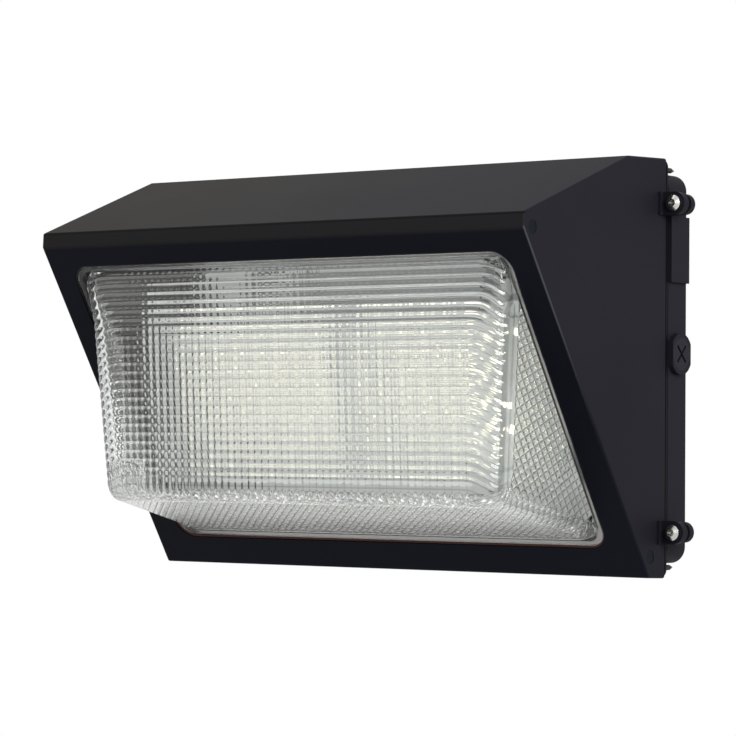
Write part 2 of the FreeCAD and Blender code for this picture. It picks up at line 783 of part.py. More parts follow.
def make_tray():
    plate = upright("tray_blank", "0", "tray_radius", "tray_back_depth", "tray_thickness")
    holes = tray_screw_holes("tray_hole", "tray_screw_radius + screw_clearance")
    holes.append(rod("grommet_opening", "grommet_hole", "seam_depth",
                     ("grommet_x", "-seam_depth - wall", "grommet_z"), "+Y"))
    for name, _, across, height in tray_fastener_places():
        holes.append(rod(f"tray_tap_{name}", "small_screw_radius", "seam_depth",
                         (across, "-seam_depth - wall", height), "+Y"))
    keep(cut("gear_tray", plate, holes))
    ring = upright("tray_gasket_blank", "wall / 2", "tray_radius", "tray_front_depth",
                   "tray_gasket_thickness")
    hole = upright("tray_gasket_opening", "(wall / 2 + tray_gasket_width)", "tray_radius / 2",
                   "tray_back_depth", "seam_depth")
    keep(cut("tray_gasket", ring,
             [hole, *tray_screw_holes("tray_gasket_hole", "tray_screw_radius + screw_clearance")]))
    screws = []
    head_depth = "seam_depth + tray_boss_length"
    for side, word, _ in SIDES:
        for end, level in ENDS:
            across, height = tray_corner(side, end)
            name = f"{word}_{level}"
            head = rod(f"tray_screw_head_{name}", "clip_head_radius", "clip_head_height",
                       (across, f"-({head_depth})", height), "-Y")
            shank = rod(f"tray_screw_shank_{name}", "tray_screw_radius",
                        f"{head_depth} - tray_screw_tip - tray_screw_taper",
                        (across, f"-({head_depth})", height), "+Y")
            point = rod(f"tray_screw_point_{name}", "tray_screw_radius", "tray_screw_taper",
                        (across, "-tray_screw_tip - tray_screw_taper", height), "+Y",
                        tip_radius="tray_screw_radius / 5")
            screws.append(fuse(f"tray_screw_{name}", [head, shank, point]))
    keep(group("tray_screws", screws))


def make_tray_fasteners():
    """The small screws that hold the bracket, the driver and the surge protector to the tray."""
    made = {"bracket": [], "driver": [], "surge": []}
    for name, grip, across, height in tray_fastener_places():
        head = rod(f"{name}_head", "small_head_radius", "small_head_height",
                   (across, f"-tray_front_depth - {grip}", height), "-Y")
        shank = rod(f"{name}_shank", "small_screw_radius", f"{grip} + tray_thickness",
                    (across, f"-tray_front_depth - {grip}", height), "+Y")
        made[name.split("_")[0]].append(fuse(f"{name}_screw", [head, shank]))
    for kind, screws in made.items():
        keep(group(f"{kind}_screws", screws))


# ---------------------------------------------------------------- LED bracket, boards and pan
def bracket_point(rise):
    """Where the bracket's back face is, at a rise along it."""
    return (f"-bracket_depth - ({rise}) * sin(bracket_tilt * 1 deg)",
            f"bracket_centre_z + ({rise}) * cos(bracket_tilt * 1 deg)")


BOARD_X = "(board_width / 2 + board_gap / 2)"
LEAD_RISE = "board_height / 2 - chip_pitch_z / 4"
LEAD_SPOTS = [(side, word, step) for side, word, _ in SIDES for step in (1, -1)]


def lead_x(side, step):
    return f"{side} * {BOARD_X} + {step} * lead_spacing"


def make_bracket():
    plate = tilted_box("bracket_plate", on_bracket, ("0", "0", "0"),
                       ("bracket_width", "bracket_height", "bracket_thickness"))
    pieces = [plate]
    holes = []
    top = "(bracket_height / 2 - bracket_leg_width)"
    for side, word, _ in SIDES:
        gusset = new_body(f"bracket_gusset_{word}")
        sketch = new_sketch(gusset, "YZ_Plane", f"{side} * bracket_leg_x")
        polygon(sketch, [
            bracket_point(top),
            bracket_point(f"-{top}"),
            ("-tray_front_depth", bracket_point(f"-{top}")[1]),
            ("-tray_front_depth", f"bracket_centre_z + {top} - bracket_leg_width / 2"),
        ])
        pad(gusset, sketch, "bracket_thickness", midplane=True)
        low = "bracket_leg_x" if side > 0 else "-bracket_leg_x - bracket_leg_width"
        foot = box(f"bracket_foot_{word}",
                   (low, "-tray_front_depth - bracket_thickness",
                    f"bracket_centre_z - {top} * cos(bracket_tilt * 1 deg)"),
                   ("bracket_leg_width", "bracket_thickness",
                    f"{top} * (1 + cos(bracket_tilt * 1 deg)) - bracket_leg_width / 2"))
        pieces += [gusset, foot]
    for side, word, step in FOOT_SPOTS:
        across, height = foot_screw_place(side, step)
        holes.append(rod(f"bracket_hole_{word}_{step}", "small_screw_radius + screw_clearance",
                         "seam_depth", (across, "-tray_front_depth - seam_depth / 2", height),
                         "+Y"))
    for side, word, step in LEAD_SPOTS:
        holes.append(slope_rod(f"bracket_lead_hole_{word}_{step}", on_bracket,
                               "lead_radius + face_gap", "3 * bracket_thickness",
                               (lead_x(side, step), LEAD_RISE, "-bracket_thickness")))
    for name, spot in board_screw_spots():
        holes.append(slope_rod(f"bracket_tap_{name}", on_bracket, "board_screw_radius",
                               "3 * bracket_thickness", (*spot, "-bracket_thickness")))
    keep(cut("led_bracket", fuse("bracket_solid", pieces), holes))


def board_screw_spots():
    spots = []
    for side, word, _ in SIDES:
        for left in (1, -1):
            for up in (1, -1):
                spots.append((f"{word}_{left}_{up}", (
                    f"{side} * {BOARD_X} + {left} * (board_width / 2 - board_screw_inset)",
                    f"{up} * (board_height / 2 - board_screw_inset)")))
    return spots


def make_boards():
    pads = []
    columns = 8
    rows = 6
    for side, word, _ in SIDES:
        centre = f"{side} * {BOARD_X}"
        spots = [(name, spot) for name, spot in board_screw_spots() if name.startswith(word)]
        for kind, out, thickness in (
            ("pad", "bracket_thickness", "pad_thickness"),
            ("board", "bracket_thickness + pad_thickness", "board_thickness"),
        ):
            blank = tilted_box(f"{kind}_blank_{word}", on_bracket, (centre, "0", out),
                               ("board_width", "board_height", thickness))
            holes = [slope_rod(f"{kind}_hole_{name}", on_bracket,
                               "board_screw_radius + screw_clearance", "3 * board_thickness",
                               (*spot, "bracket_thickness - pad_thickness"))
                     for name, spot in spots]
            if kind == "pad":
                holes += [slope_rod(f"pad_lead_hole_{word}_{step}", on_bracket,
                                    "lead_radius + face_gap", "3 * board_thickness",
                                    (lead_x(side, step), LEAD_RISE,
                                     "bracket_thickness - pad_thickness"))
                          for step in (1, -1)]
                pads.append(cut(f"thermal_pad_{word}", blank, holes))
            else:
                keep(cut(f"led_board_{word}", blank, holes))
        chips = []
        for column in range(columns):
            for row in range(rows):
                across = f"{centre} + {column - (columns - 1) / 2} * chip_pitch_x"
                up = f"{row - (rows - 1) / 2} * chip_pitch_z"
                chips.append(tilted_box(f"chip_{word}_{column}_{row}", on_bracket,
                                        (across, up, "board_face"),
                                        ("chip_size", "chip_size", "chip_height")))
        keep(group(f"led_chips_{word}", chips))
    keep(group("thermal_pads", pads))
    screws = []
    for name, spot in board_screw_spots():
        head = slope_rod(f"board_screw_head_{name}", on_bracket, "board_screw_head",
                         "board_screw_head_height", (*spot, "board_face"))
        shank = slope_rod(f"board_screw_shank_{name}", on_bracket, "board_screw_radius",
                          "board_face", (*spot, "0"))
        screws.append(fuse(f"board_screw_{name}", [head, shank]))
    keep(group("led_board_screws", screws))


def make_pan():
    """White sheet frame round the boards, with low walls that lean outwards."""
    half_x = "(board_width + board_gap / 2 + pan_margin)"
    half_y = "(board_height / 2 + pan_margin)"
    rim_x = "(bracket_width / 2 - pan_margin)"
    rim_y = "(bracket_height / 2 - pan_margin)"

    def flared(label, inset, start):
        body = new_body(label)
        sketch = new_sketch(body, "XY_Plane", start)
        rounded_rectangle(sketch, f"-{rim_x} + {inset}", f"{rim_x} - {inset}",
                          f"-{rim_y} + {inset}", f"{rim_y} - {inset}", "pan_margin")
        bind(pad(body, sketch, "pan_flare_rise"), "TaperAngle", "pan_flare")
        return body

    outer = flared("pan_outer", "0", "bracket_thickness")
    inner = flared("pan_inner", "pan_thickness", "bracket_thickness + pan_thickness")
    hole = slab("pan_hole", f"-{half_x}", half_x, f"-{half_y}", half_y, "pan_margin",
                "0", "2 * pan_flare_rise")
    keep(on_bracket(cut("reflector_pan", outer, [inner, hole])))


# ---------------------------------------------------------------- driver, surge protector, wiring
def boxed_module(label, across, length, height, thickness):
    """A potted module: a case on the tray with a screwed tab at each end."""
    case = box(f"{label}_case",
               (f"{across} - {length} / 2", f"-tray_front_depth - {thickness}",
                f"driver_z - {height} / 2"),
               (length, thickness, height))
    tabs = box(f"{label}_tabs",
               (f"{across} - {length} / 2 - driver_tab", "-tray_front_depth - driver_tab_thickness",
                f"driver_z - {height} / 3"),
               (f"{length} + 2 * driver_tab", "driver_tab_thickness", f"2 * {height} / 3"))
    holes = [rod(f"{label}_hole_{word}", "small_screw_radius + screw_clearance", "seam_depth",
                 (f"{across} + {side} * ({length} / 2 + driver_tab / 2)",
                  "-tray_front_depth - seam_depth / 2", "driver_z"), "+Y")
             for side, word, _ in SIDES]
    keep(cut(label, fuse(f"{label}_solid", [case, tabs]), holes))


def make_leads():
    """Leads from the driver down to each board, and from the driver out through the tray."""
    leads = []
    start_z = "driver_z - driver_height / 2"
    back_y, turn_z = bracket_point(LEAD_RISE)
    for side, word, step in LEAD_SPOTS:
        name = f"{word}_{step}"
        across = lead_x(side, step)
        leads.append(fuse(f"led_lead_{name}", [
            rod(f"led_lead_drop_{name}", "lead_radius", f"{start_z} - ({turn_z})",
                (across, DRIVER_Y, start_z), "-Z"),
            bend(f"led_lead_bend_{name}", (across, DRIVER_Y, turn_z)),
            rod(f"led_lead_run_{name}", "lead_radius", f"{DRIVER_Y} - ({back_y})",
                (across, DRIVER_Y, turn_z), "-Y"),
            bend(f"led_lead_turn_{name}", (across, back_y, turn_z)),
            slope_rod(f"led_lead_end_{name}", on_bracket, "lead_radius",
                      "bracket_thickness + pad_thickness", (across, LEAD_RISE, "0")),
        ]))
    keep(group("led_leads", leads))
    supply = []
    gap = "(2 * lead_radius + face_gap)"
    tail_y = "-(box_rim_depth + box_wall) / 2"
    for step in (-1, 0, 1):
        across = f"(grommet_x + {step} * {gap})"
        depth_y = f"({DRIVER_Y} + {step} * {gap})"
        level = f"(driver_z + {step} * {gap})"
        supply.append(fuse(f"supply_lead_{step}", [
            rod(f"supply_out_{step}", "lead_radius", f"-driver_length / 2 - {across}",
                ("-driver_length / 2", depth_y, level), "-X"),
            bend(f"supply_bend_{step}", (across, depth_y, level)),
            rod(f"supply_drop_{step}", "lead_radius", f"{level} - grommet_z",
                (across, depth_y, level), "-Z"),
            bend(f"supply_turn_{step}", (across, depth_y, "grommet_z")),
            rod(f"supply_through_{step}", "lead_radius", f"{tail_y} - {depth_y}",
                (across, depth_y, "grommet_z"), "+Y"),
            bend(f"supply_end_{step}", (across, tail_y, "grommet_z")),
            rod(f"supply_tail_{step}", "lead_radius", "tail_length",
                (across, tail_y, "grommet_z"), "-Z"),
        ]))
    keep(group("supply_leads", supply))
    keep(box("supply_disconnect",
             ("grommet_x - disconnect_width / 2", f"{tail_y} - disconnect_thickness / 2",
              "grommet_z - tail_length - disconnect_length"),
             ("disconnect_width", "disconnect_thickness", "disconnect_length")))


def bend(label, at):
    """The round bend where two straight stretches of a lead meet."""
    made = doc.addObject("Part::Sphere", label)
    made.Label = label
    bind(made, "Radius", "lead_radius")
    bind_place(made, *at)
    return made


def make_grommet():
    at = ("grommet_x", "-tray_front_depth - grommet_flange_thickness", "grommet_z")
    length = "tray_thickness + 2 * grommet_flange_thickness"
    neck = rod("grommet_neck", "grommet_hole", length, at, "+Y")
    front = rod("grommet_front", "grommet_flange", "grommet_flange_thickness", at, "+Y")
    back = rod("grommet_back", "grommet_flange", "grommet_flange_thickness",
               ("grommet_x", "-tray_back_depth", "grommet_z"), "+Y")
    bore = rod("grommet_hole_cut", "grommet_bore", "seam_depth",
               ("grommet_x", "-tray_front_depth - wall", "grommet_z"), "+Y")
    keep(cut("tray_grommet", fuse("grommet_solid", [neck, front, back]), [bore]))


# ---------------------------------------------------------------- wall box
BOX_OUTLINE = ("-box_width / 2", "box_width / 2", "-box_height / 2", "box_height / 2")
CONDUITS = (
    ("right", "+X", ("box_width / 2 - box_wall", "-conduit_centre_depth", "conduit_centre_z")),
    ("left", "-X", ("-box_width / 2 + box_wall", "-conduit_centre_depth", "conduit_centre_z")),
    ("top", "+Z", ("0", "-conduit_centre_depth", "box_height / 2 - box_wall")),
)


def make_rear_housing():
    shell = new_body("box_shell")
    outline = new_sketch(shell, "XZ_Plane")
    rounded_rectangle(outline, *BOX_OUTLINE, "box_radius")
    pad(shell, outline, "box_rim_depth")
    hollow = new_sketch(shell, "XZ_Plane", "box_rim_depth")
    rounded_rectangle(hollow, "-box_width / 2 + box_wall", "box_width / 2 - box_wall",
                      "-box_height / 2 + box_wall", "box_height / 2 - box_wall",
                      "box_radius - box_wall")
    pocket(shell, hollow, "box_rim_depth - box_wall")
    added = [shell]
    holes = []
    for word, towards, start in CONDUITS:
        boss = rod(f"conduit_boss_{word}", "conduit_boss_radius",
                   "box_wall + conduit_boss_stand", start, towards)
        room = box(f"conduit_room_{word}", ("-box_width", "-box_rim_depth", "-box_height"),
                   ("2 * box_width", "box_rim_depth", "2 * box_height"))
        trimmed = doc.addObject("Part::Common", f"conduit_trim_{word}")
        trimmed.Base = boss
        trimmed.Tool = room
        added.append(trimmed)
        holes.append(rod(f"conduit_hole_{word}", "conduit_radius",
                         "2 * (box_wall + conduit_boss_stand)", start, towards))
    for side, word, _ in SIDES:
        low = "box_width / 2 - box_wall" if side > 0 else "-box_width / 2 - pad_stand"
        added.append(box(f"side_pad_{word}", (low, "-box_rim_depth", "pad_centre_z - pad_height / 2"),
                         ("box_wall + pad_stand", "box_rim_depth", "pad_height")))
        for end, level in ENDS:
            holes.append(rod(f"mount_hole_{word}_{level}", "mount_radius", "2 * box_wall",
                             (f"{side} * mount_x / 2", "-1.5 * box_wall", f"{end} * mount_z / 2"),
                             "+Y"))
        holes.append(rod(f"junction_hole_{word}", "junction_radius", "2 * box_wall",
                         (f"{side} * junction_spacing / 2", "-1.5 * box_wall", "0"), "+Y"))
    holes.append(rod("wire_entry_hole", "wire_entry_radius", "2 * box_wall",
                     ("0", "-1.5 * box_wall", "0"), "+Y"))
    for end, level in ENDS:
        added.extend(ear(f"box_ear_{level}", end, "box_ear_radius", "box_rim_depth",
                         "box_ear_back", "(box_width / 2 - box_wall)"))
        holes.append(rod(f"ear_thread_{level}", "door_screw_radius + ear_thread_clearance",
                         "2 * box_rim_depth", ("ear_x", "-box_rim_depth - box_wall",
                                               f"{end} * ear_z"), "+Y"))
        for step, low in ((1, "knuckle_length / 2 + knuckle_gap"),
                          (-1, "-knuckle_length / 2 - knuckle_gap - hinge_web")):
            bottom = f"{end} * ear_z + {low}"
            added.append(knuckle(f"box_knuckle_{level}_{step}", bottom, "hinge_web"))
            added.append(box(f"box_web_{level}_{step}", ("-hinge_x", "-box_rim_depth", bottom),
                             ("hinge_x - box_width / 2 + box_wall", "hinge_radius",
                              "hinge_web")))
        holes.append(rod(f"box_hinge_bore_{level}", "hinge_pin_radius", "4 * hinge_web",
                         ("-hinge_x", "-hinge_depth", f"{end} * ear_z - 2 * hinge_web"), "+Z"))
    added.append(rod("ground_boss", "ground_boss_radius", "ground_boss_height + box_wall / 2",
                     ("ground_x", "-box_wall / 2", "ground_z"), "-Y"))
    holes.append(rod("ground_tap", "small_screw_radius", "ground_boss_height",
                     ("ground_x", "-box_wall - ground_boss_height", "ground_z"), "+Y"))
    keep(cut("rear_housing", fuse("box_casting", added), holes))


def make_housing_gasket():
    """Foam ring on the wall box's rim, just clear of the tray."""
    ring = slab("housing_gasket_blank", *(f"{one} {sign} housing_gasket_inset" for one, sign in
                                          zip(BOX_OUTLINE, "+-+-")),
                "box_radius", "box_rim_depth", "housing_gasket_stand", role="XZ_Plane")
    edge = "(housing_gasket_inset + housing_gasket_width)"
    hole = slab("housing_gasket_opening", *(f"{one} {sign} {edge}" for one, sign in
                                            zip(BOX_OUTLINE, "+-+-")),
                "box_radius - housing_gasket_width", "box_rim_depth / 2", "box_rim_depth",
                role="XZ_Plane")
    keep(cut("housing_gasket", ring, [hole]))


def make_conduit_plugs():
    """Threaded plugs, flush with their bosses, each with a cross slot for a wide screwdriver."""
    for word, towards, start in CONDUITS:
        plug = rod(f"plug_blank_{word}", "conduit_radius", "box_wall + conduit_boss_stand",
                   start, towards)
        slots = []
        for angle in (45, -45):
            slot = doc.addObject("PartDesign::Body", f"plug_slot_{word}_{angle}")
            sketch = new_sketch(slot, "XY_Plane")
            polygon(sketch, [("-plug_slot_span / 2", "-plug_slot_width / 2"),
                             ("plug_slot_span / 2", "-plug_slot_width / 2"),
                             ("plug_slot_span / 2", "plug_slot_width / 2"),
                             ("-plug_slot_span / 2", "plug_slot_width / 2")])
            pad(slot, sketch, "2 * plug_slot_depth")
            turned = FreeCAD.Rotation(Z_AXIS, angle)
            slot.Placement.Rotation = TURNS[towards].multiply(turned)
            reach = "(box_wall + conduit_boss_stand - plug_slot_depth)"
            sign = -1 if towards.startswith("-") else 1
            along = {"X": 0, "Y": 1, "Z": 2}[towards[1]]
            place = [f"{formula} + {sign} * {reach}" if axis == along else formula
                     for axis, formula in enumerate(start)]
            bind_place(slot, *place)
            slots.append(slot)
        keep(cut(f"conduit_plug_{word}", plug, slots))


# ---------------------------------------------------------------- door screws, hinge pins
def cross_recess(label, width, depth, at):
    """Two crossed boxes that sink into a screw's head along Y from its face."""
    x, y, z = at
    return [
        box(f"{label}_across", (f"{x} - {width}", y, f"{z} - {width} / 4"),
            (f"2 * {width}", depth, f"{width} / 2")),
        box(f"{label}_upright", (f"{x} - {width} / 4", y, f"{z} - {width}"),
            (f"{width} / 2", depth, f"2 * {width}")),
    ]


def make_door_screws():
    """Captive screws: a thin waist in the door's ear and a threaded end in the wall box's ear."""
    for end, level in ENDS:
        height = f"{end} * ear_z"
        seat = "door_ear_front + door_screw_seat"
        neck = "door_screw_head_height / 2"
        head = rod(f"screw_head_{level}", "door_screw_head", neck,
                   ("ear_x", f"-({seat})", height), "-Y")
        crown = rod(f"screw_crown_{level}", "door_screw_head", neck,
                    ("ear_x", f"-({seat}) - {neck}", height), "-Y",
                    tip_radius="door_screw_head / 2")
        waist = rod(f"screw_waist_{level}", "door_screw_waist",
                    f"{seat} - thread_front_depth + captive_clearance",
                    ("ear_x", f"-({seat})", height), "+Y")
        thread = rod(f"screw_thread_{level}", "door_screw_radius", "door_screw_thread",
                     ("ear_x", "-thread_front_depth", height), "+Y")
        solid = fuse(f"screw_solid_{level}", [head, crown, waist, thread])
        recess = cross_recess(f"screw_recess_{level}", "door_screw_head / 2.5",
                              "door_screw_head_height * 0.6",
                              ("ear_x", f"-({seat}) - door_screw_head_height", height))
        keep(cut(f"door_screw_{level}", solid, recess))


def make_hinge_pins():
    reach = "(knuckle_length / 2 + knuckle_gap + hinge_web)"
    for end, level in ENDS:
        low = f"{end} * ear_z - {reach}"
        top = f"{end} * ear_z + {reach}"
        pin = rod(f"pin_shank_{level}", "hinge_pin_radius", f"2 * {reach}",
                  ("-hinge_x", "-hinge_depth", low), "+Z")
        head = rod(f"pin_head_{level}", "hinge_pin_head", "hinge_pin_head_height",
                   ("-hinge_x", "-hinge_depth", top), "+Z")
        keep(fuse(f"hinge_pin_{level}", [pin, head]))


def make_ground_screw():
    face = "box_wall + ground_boss_height"
    head = rod("ground_head", "small_head_radius", "small_head_height",
               ("ground_x", f"-({face})", "ground_z"), "-Y")
    shank = rod("ground_shank", "small_screw_radius", "ground_boss_height",
                ("ground_x", f"-({face})", "ground_z"), "+Y")
    solid = fuse("ground_solid", [head, shank])
    slot = box("ground_slot",
               ("ground_x - small_head_radius", f"-({face}) - small_head_height",
                "ground_z - small_head_height / 4"),
               ("2 * small_head_radius", "small_head_height / 2", "small_head_height / 2"))
    keep(cut("ground_screw", solid, [slot]))


# ---------------------------------------------------------------- build, check and export
make_front_housing()
make_accessory_plugs()
make_glass()
make_lens_gasket()
make_lens_clips()
make_tray()
make_tray_fasteners()
make_bracket()
make_boards()
make_pan()
boxed_module("led_driver", "0", "driver_length", "driver_height", "driver_thickness")
boxed_module("surge_protector", "surge_x", "surge_length", "surge_height", "surge_thickness")
make_leads()
make_grommet()
make_rear_housing()
make_housing_gasket()
make_conduit_plugs()
make_door_screws()
make_hinge_pins()
make_ground_screw()
doc.recompute()

for thing in doc.Objects:
    if {"Invalid", "Error"} & set(thing.State):
        raise RuntimeError(f"{thing.Label} did not build: {thing.State}")
os.makedirs("parts", exist_ok=True)
for part in parts:
    shape = part.Shape
    if shape.isNull() or not shape.isValid() or not shape.Solids:
        raise RuntimeError(f"{part.Label} has no valid solid")
    shape.exportStep(f"parts/{part.Label}.step")
    print(f"{part.Label}: {len(shape.Solids)} solid, {shape.Volume:.1f} mm3")
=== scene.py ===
"""Looks for a wall pack light: a wedge-shaped door frame with a ribbed glass lens on a wall box.

Everything is in metres in the row frame: X to the viewer's right, Y into the wall, Z up.
"""

from __future__ import annotations

import json
import logging
import math
from dataclasses import dataclass
from enum import Enum

import bmesh
import bpy
import numpy as np
from mathutils import Matrix, Vector

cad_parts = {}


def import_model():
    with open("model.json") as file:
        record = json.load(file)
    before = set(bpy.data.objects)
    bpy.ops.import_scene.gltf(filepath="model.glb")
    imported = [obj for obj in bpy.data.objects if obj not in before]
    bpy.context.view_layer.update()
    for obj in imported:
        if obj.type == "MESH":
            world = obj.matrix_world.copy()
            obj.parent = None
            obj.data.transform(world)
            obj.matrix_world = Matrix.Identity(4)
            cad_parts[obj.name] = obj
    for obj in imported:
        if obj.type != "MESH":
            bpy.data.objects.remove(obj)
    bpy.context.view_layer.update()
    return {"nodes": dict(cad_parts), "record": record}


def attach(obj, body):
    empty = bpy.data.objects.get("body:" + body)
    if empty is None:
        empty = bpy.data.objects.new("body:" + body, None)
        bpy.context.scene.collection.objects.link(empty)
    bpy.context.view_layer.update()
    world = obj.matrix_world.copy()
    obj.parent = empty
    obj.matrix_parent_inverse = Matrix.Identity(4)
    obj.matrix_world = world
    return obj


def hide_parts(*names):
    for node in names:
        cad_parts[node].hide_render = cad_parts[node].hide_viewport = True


LOG = logging.getLogger("wall_pack_light")
MM = 0.001
Colour = tuple[float, float, float]
BLACK: Colour = (0.0, 0.0, 0.0)

# the lens's ribs, in millimetres down its profile
RIB_START = 3.6
RIB_PITCH = 5.3

# the door frame's upright section, as (Y, Z)
BROW_BACK = (-0.025, 0.123)
BROW_FRONT = (-0.064, 0.1216)
LIP_TOP = (-0.1712, 0.0824)
LIP_FOOT = (-0.1717, 0.0736)
SLOPE_FOOT = (-0.0423, -0.1224)
FLOOR_BACK = (-0.025, -0.123)


# ------------------------------------------------------------------ node graphs
class Value:
    """A node's output that adds Math nodes when it is used in an expression."""

    def __init__(self, graph: "Graph", socket: bpy.types.NodeSocket) -> None:
        """Wraps one output socket of a graph."""
        self.graph = graph
        self.socket = socket

    def _math(self, operation: str, *terms: "Value | float") -> "Value":
        """One Math node on these terms."""
        return self.graph.node("ShaderNodeMath", {"operation": operation}, dict(enumerate(terms)))

    def __add__(self, other: "Value | float") -> "Value":
        """The sum."""
        return self._math("ADD", self, other)

    __radd__ = __add__

    def __sub__(self, other: "Value | float") -> "Value":
        """The difference."""
        return self._math("SUBTRACT", self, other)

    def __rsub__(self, other: float) -> "Value":
        """The difference from a plain number."""
        return self._math("SUBTRACT", other, self)

    def __mul__(self, other: "Value | float") -> "Value":
        """The product."""
        return self._math("MULTIPLY", self, other)

    __rmul__ = __mul__

    def __truediv__(self, other: "Value | float") -> "Value":
        """The quotient."""
        return self._math("DIVIDE", self, other)

    def power(self, exponent: float) -> "Value":
        """This value raised to a power."""
        return self._math("POWER", self, exponent)

    def sine(self) -> "Value":
        """The sine of this value in radians."""
        return self._math("SINE", self)

    def size(self) -> "Value":
        """This value without its sign."""
        return self._math("ABSOLUTE", self)

    def ramp(self, low: float, high: float) -> "Value":
        """Rises smoothly from 0 at low to 1 at high."""
        settings = {"interpolation_type": "SMOOTHSTEP"}
        return self.graph.node("ShaderNodeMapRange", settings, {0: self, 1: low, 2: high})


class Graph:
    """A node tree that grows one node at a time."""

    def __init__(self, tree: bpy.types.NodeTree) -> None:
        """Starts on an existing tree."""
        self.tree = tree

    def node(self, kind: str, settings: dict | None = None, inputs: dict | None = None,
             output: int | str = 0) -> Value:
        """Adds a node.

        Args:
            kind: the node's type.
            settings: its properties, set first.
            inputs: values or links for its sockets, by number or name.
            output: which output to return.

        Returns:
            The chosen output.
        """
        made = self.tree.nodes.new(kind)
        for name, value in (settings or {}).items():
            setattr(made, name, value)
        for key, value in (inputs or {}).items():
            socket = made.inputs[key]
            if isinstance(value, Value):
                self.tree.links.new(value.socket, socket)
            elif isinstance(value, tuple) and len(value) == 3 and socket.type == "RGBA":
                socket.default_value = (*value, 1.0)
            else:
                socket.default_value = value
        return Value(self, made.outputs[output] if made.outputs else None)

    def parts(self, vector: Value) -> tuple[Value, Value, Value]:
        """The three parts of a vector."""
        first = self.node("ShaderNodeSeparateXYZ", None, {0: vector})
        return tuple(Value(self, socket) for socket in first.socket.node.outputs)

    def mix(self, factor: Value | float, low: Value | Colour, high: Value | Colour) -> Value:
        """A colour between low and high."""
        made = self.tree.nodes.new("ShaderNodeMix")
        made.data_type = "RGBA"
        for socket, value in ((made.inputs[0], factor), (made.inputs[6], low),
                              (made.inputs[7], high)):
            if isinstance(value, Value):
                self.tree.links.new(value.socket, socket)
            else:
                socket.default_value = (*value, 1.0) if isinstance(value, tuple) else value
        return Value(self, made.outputs[2])

    def eye(self) -> Value:
        """1 for what is seen directly, mirrored or through glass, 0 for soft light."""
        path = self.node("ShaderNodeLightPath").socket.node
        unseen = [1.0 - Value(self, path.outputs[name])
                  for name in ("Is Camera Ray", "Is Glossy Ray", "Is Transmission Ray")]
        return 1.0 - unseen[0] * unseen[1] * unseen[2]


class Shader(Graph):
    """A material's graph that ends in one Principled surface."""

    def __init__(self, name: str) -> None:
        """Starts an empty material of this name."""
        self.material = bpy.data.materials.new(name)
        self.material.use_nodes = True
        super().__init__(self.material.node_tree)
        self.tree.nodes.clear()
        self.place = self.node("ShaderNodeTexCoord", None, None, "Object")

    def noise(self, scale: float, detail: float = 2.0, rough: float = 0.5,
              stretch: tuple[float, float, float] = (1.0, 1.0, 1.0)) -> Value:
        """Smooth noise on object coordinates, scale in cycles per metre."""
        where = self.node("ShaderNodeMapping", None, {"Vector": self.place, "Scale": stretch})
        return self.node("ShaderNodeTexNoise", None,
                         {"Vector": where, "Scale": scale, "Detail": detail, "Roughness": rough})

    def bump(self, height: Value, depth: float, strength: float = 1.0,
             under: Value | None = None) -> Value:
        """A bumped normal; depth is the height of 1 in metres."""
        inputs = {"Height": height, "Distance": depth, "Strength": strength}
        if under is not None:
            inputs["Normal"] = under
        return self.node("ShaderNodeBump", None, inputs)

    def surface(self, **sockets: Value | float | Colour) -> bpy.types.Material:
        """Ends the material; sockets are named as words_with_underscores."""
        inputs = {}
        for word, value in sockets.items():
            name = word.replace("_", " ").title().replace("Ior", "IOR")
            inputs[name] = value
        shader = self.node("ShaderNodeBsdfPrincipled", None, inputs)
        self.node("ShaderNodeOutputMaterial", None, {"Surface": shader})
        return self.material


# ------------------------------------------------------------------ finishes
@dataclass(frozen=True)
class PowderCoat:
    """Baked powder paint: a fine orange-peel skin over cast or pressed metal."""

    name: str
    colour: Colour
    roughness: float = 0.55
    shine: float = 0.06
    peel: float = 0.00004
    grain: float = 1500.0

    def layers(self, shader: Shader) -> tuple[Value, Value, Value]:
        """The paint's colour, roughness and orange peel."""
        broad = shader.noise(9.0, 3.0)
        speck = shader.noise(2600.0, 1.0)
        light = tuple(min(1.0, part * 1.28) for part in self.colour)
        tone = shader.mix(broad.ramp(0.3, 0.7), self.colour, light)
        tone = shader.mix(speck.ramp(0.62, 0.78) * 0.35, tone,
                          tuple(part * 2.2 for part in self.colour))
        skin = shader.noise(self.grain, 2.0, 0.6)
        rough = self.roughness + (broad - 0.5) * 0.10 + (skin - 0.5) * 0.08
        return tone, rough, skin

    def make(self) -> bpy.types.Material:
        """Builds the material."""
        shader = Shader(self.name)
        tone, rough, skin = self.layers(shader)
        return shader.surface(base_color=tone, roughness=rough,
                              specular_ior_level=self.shine,
                              normal=shader.bump(skin, self.peel))


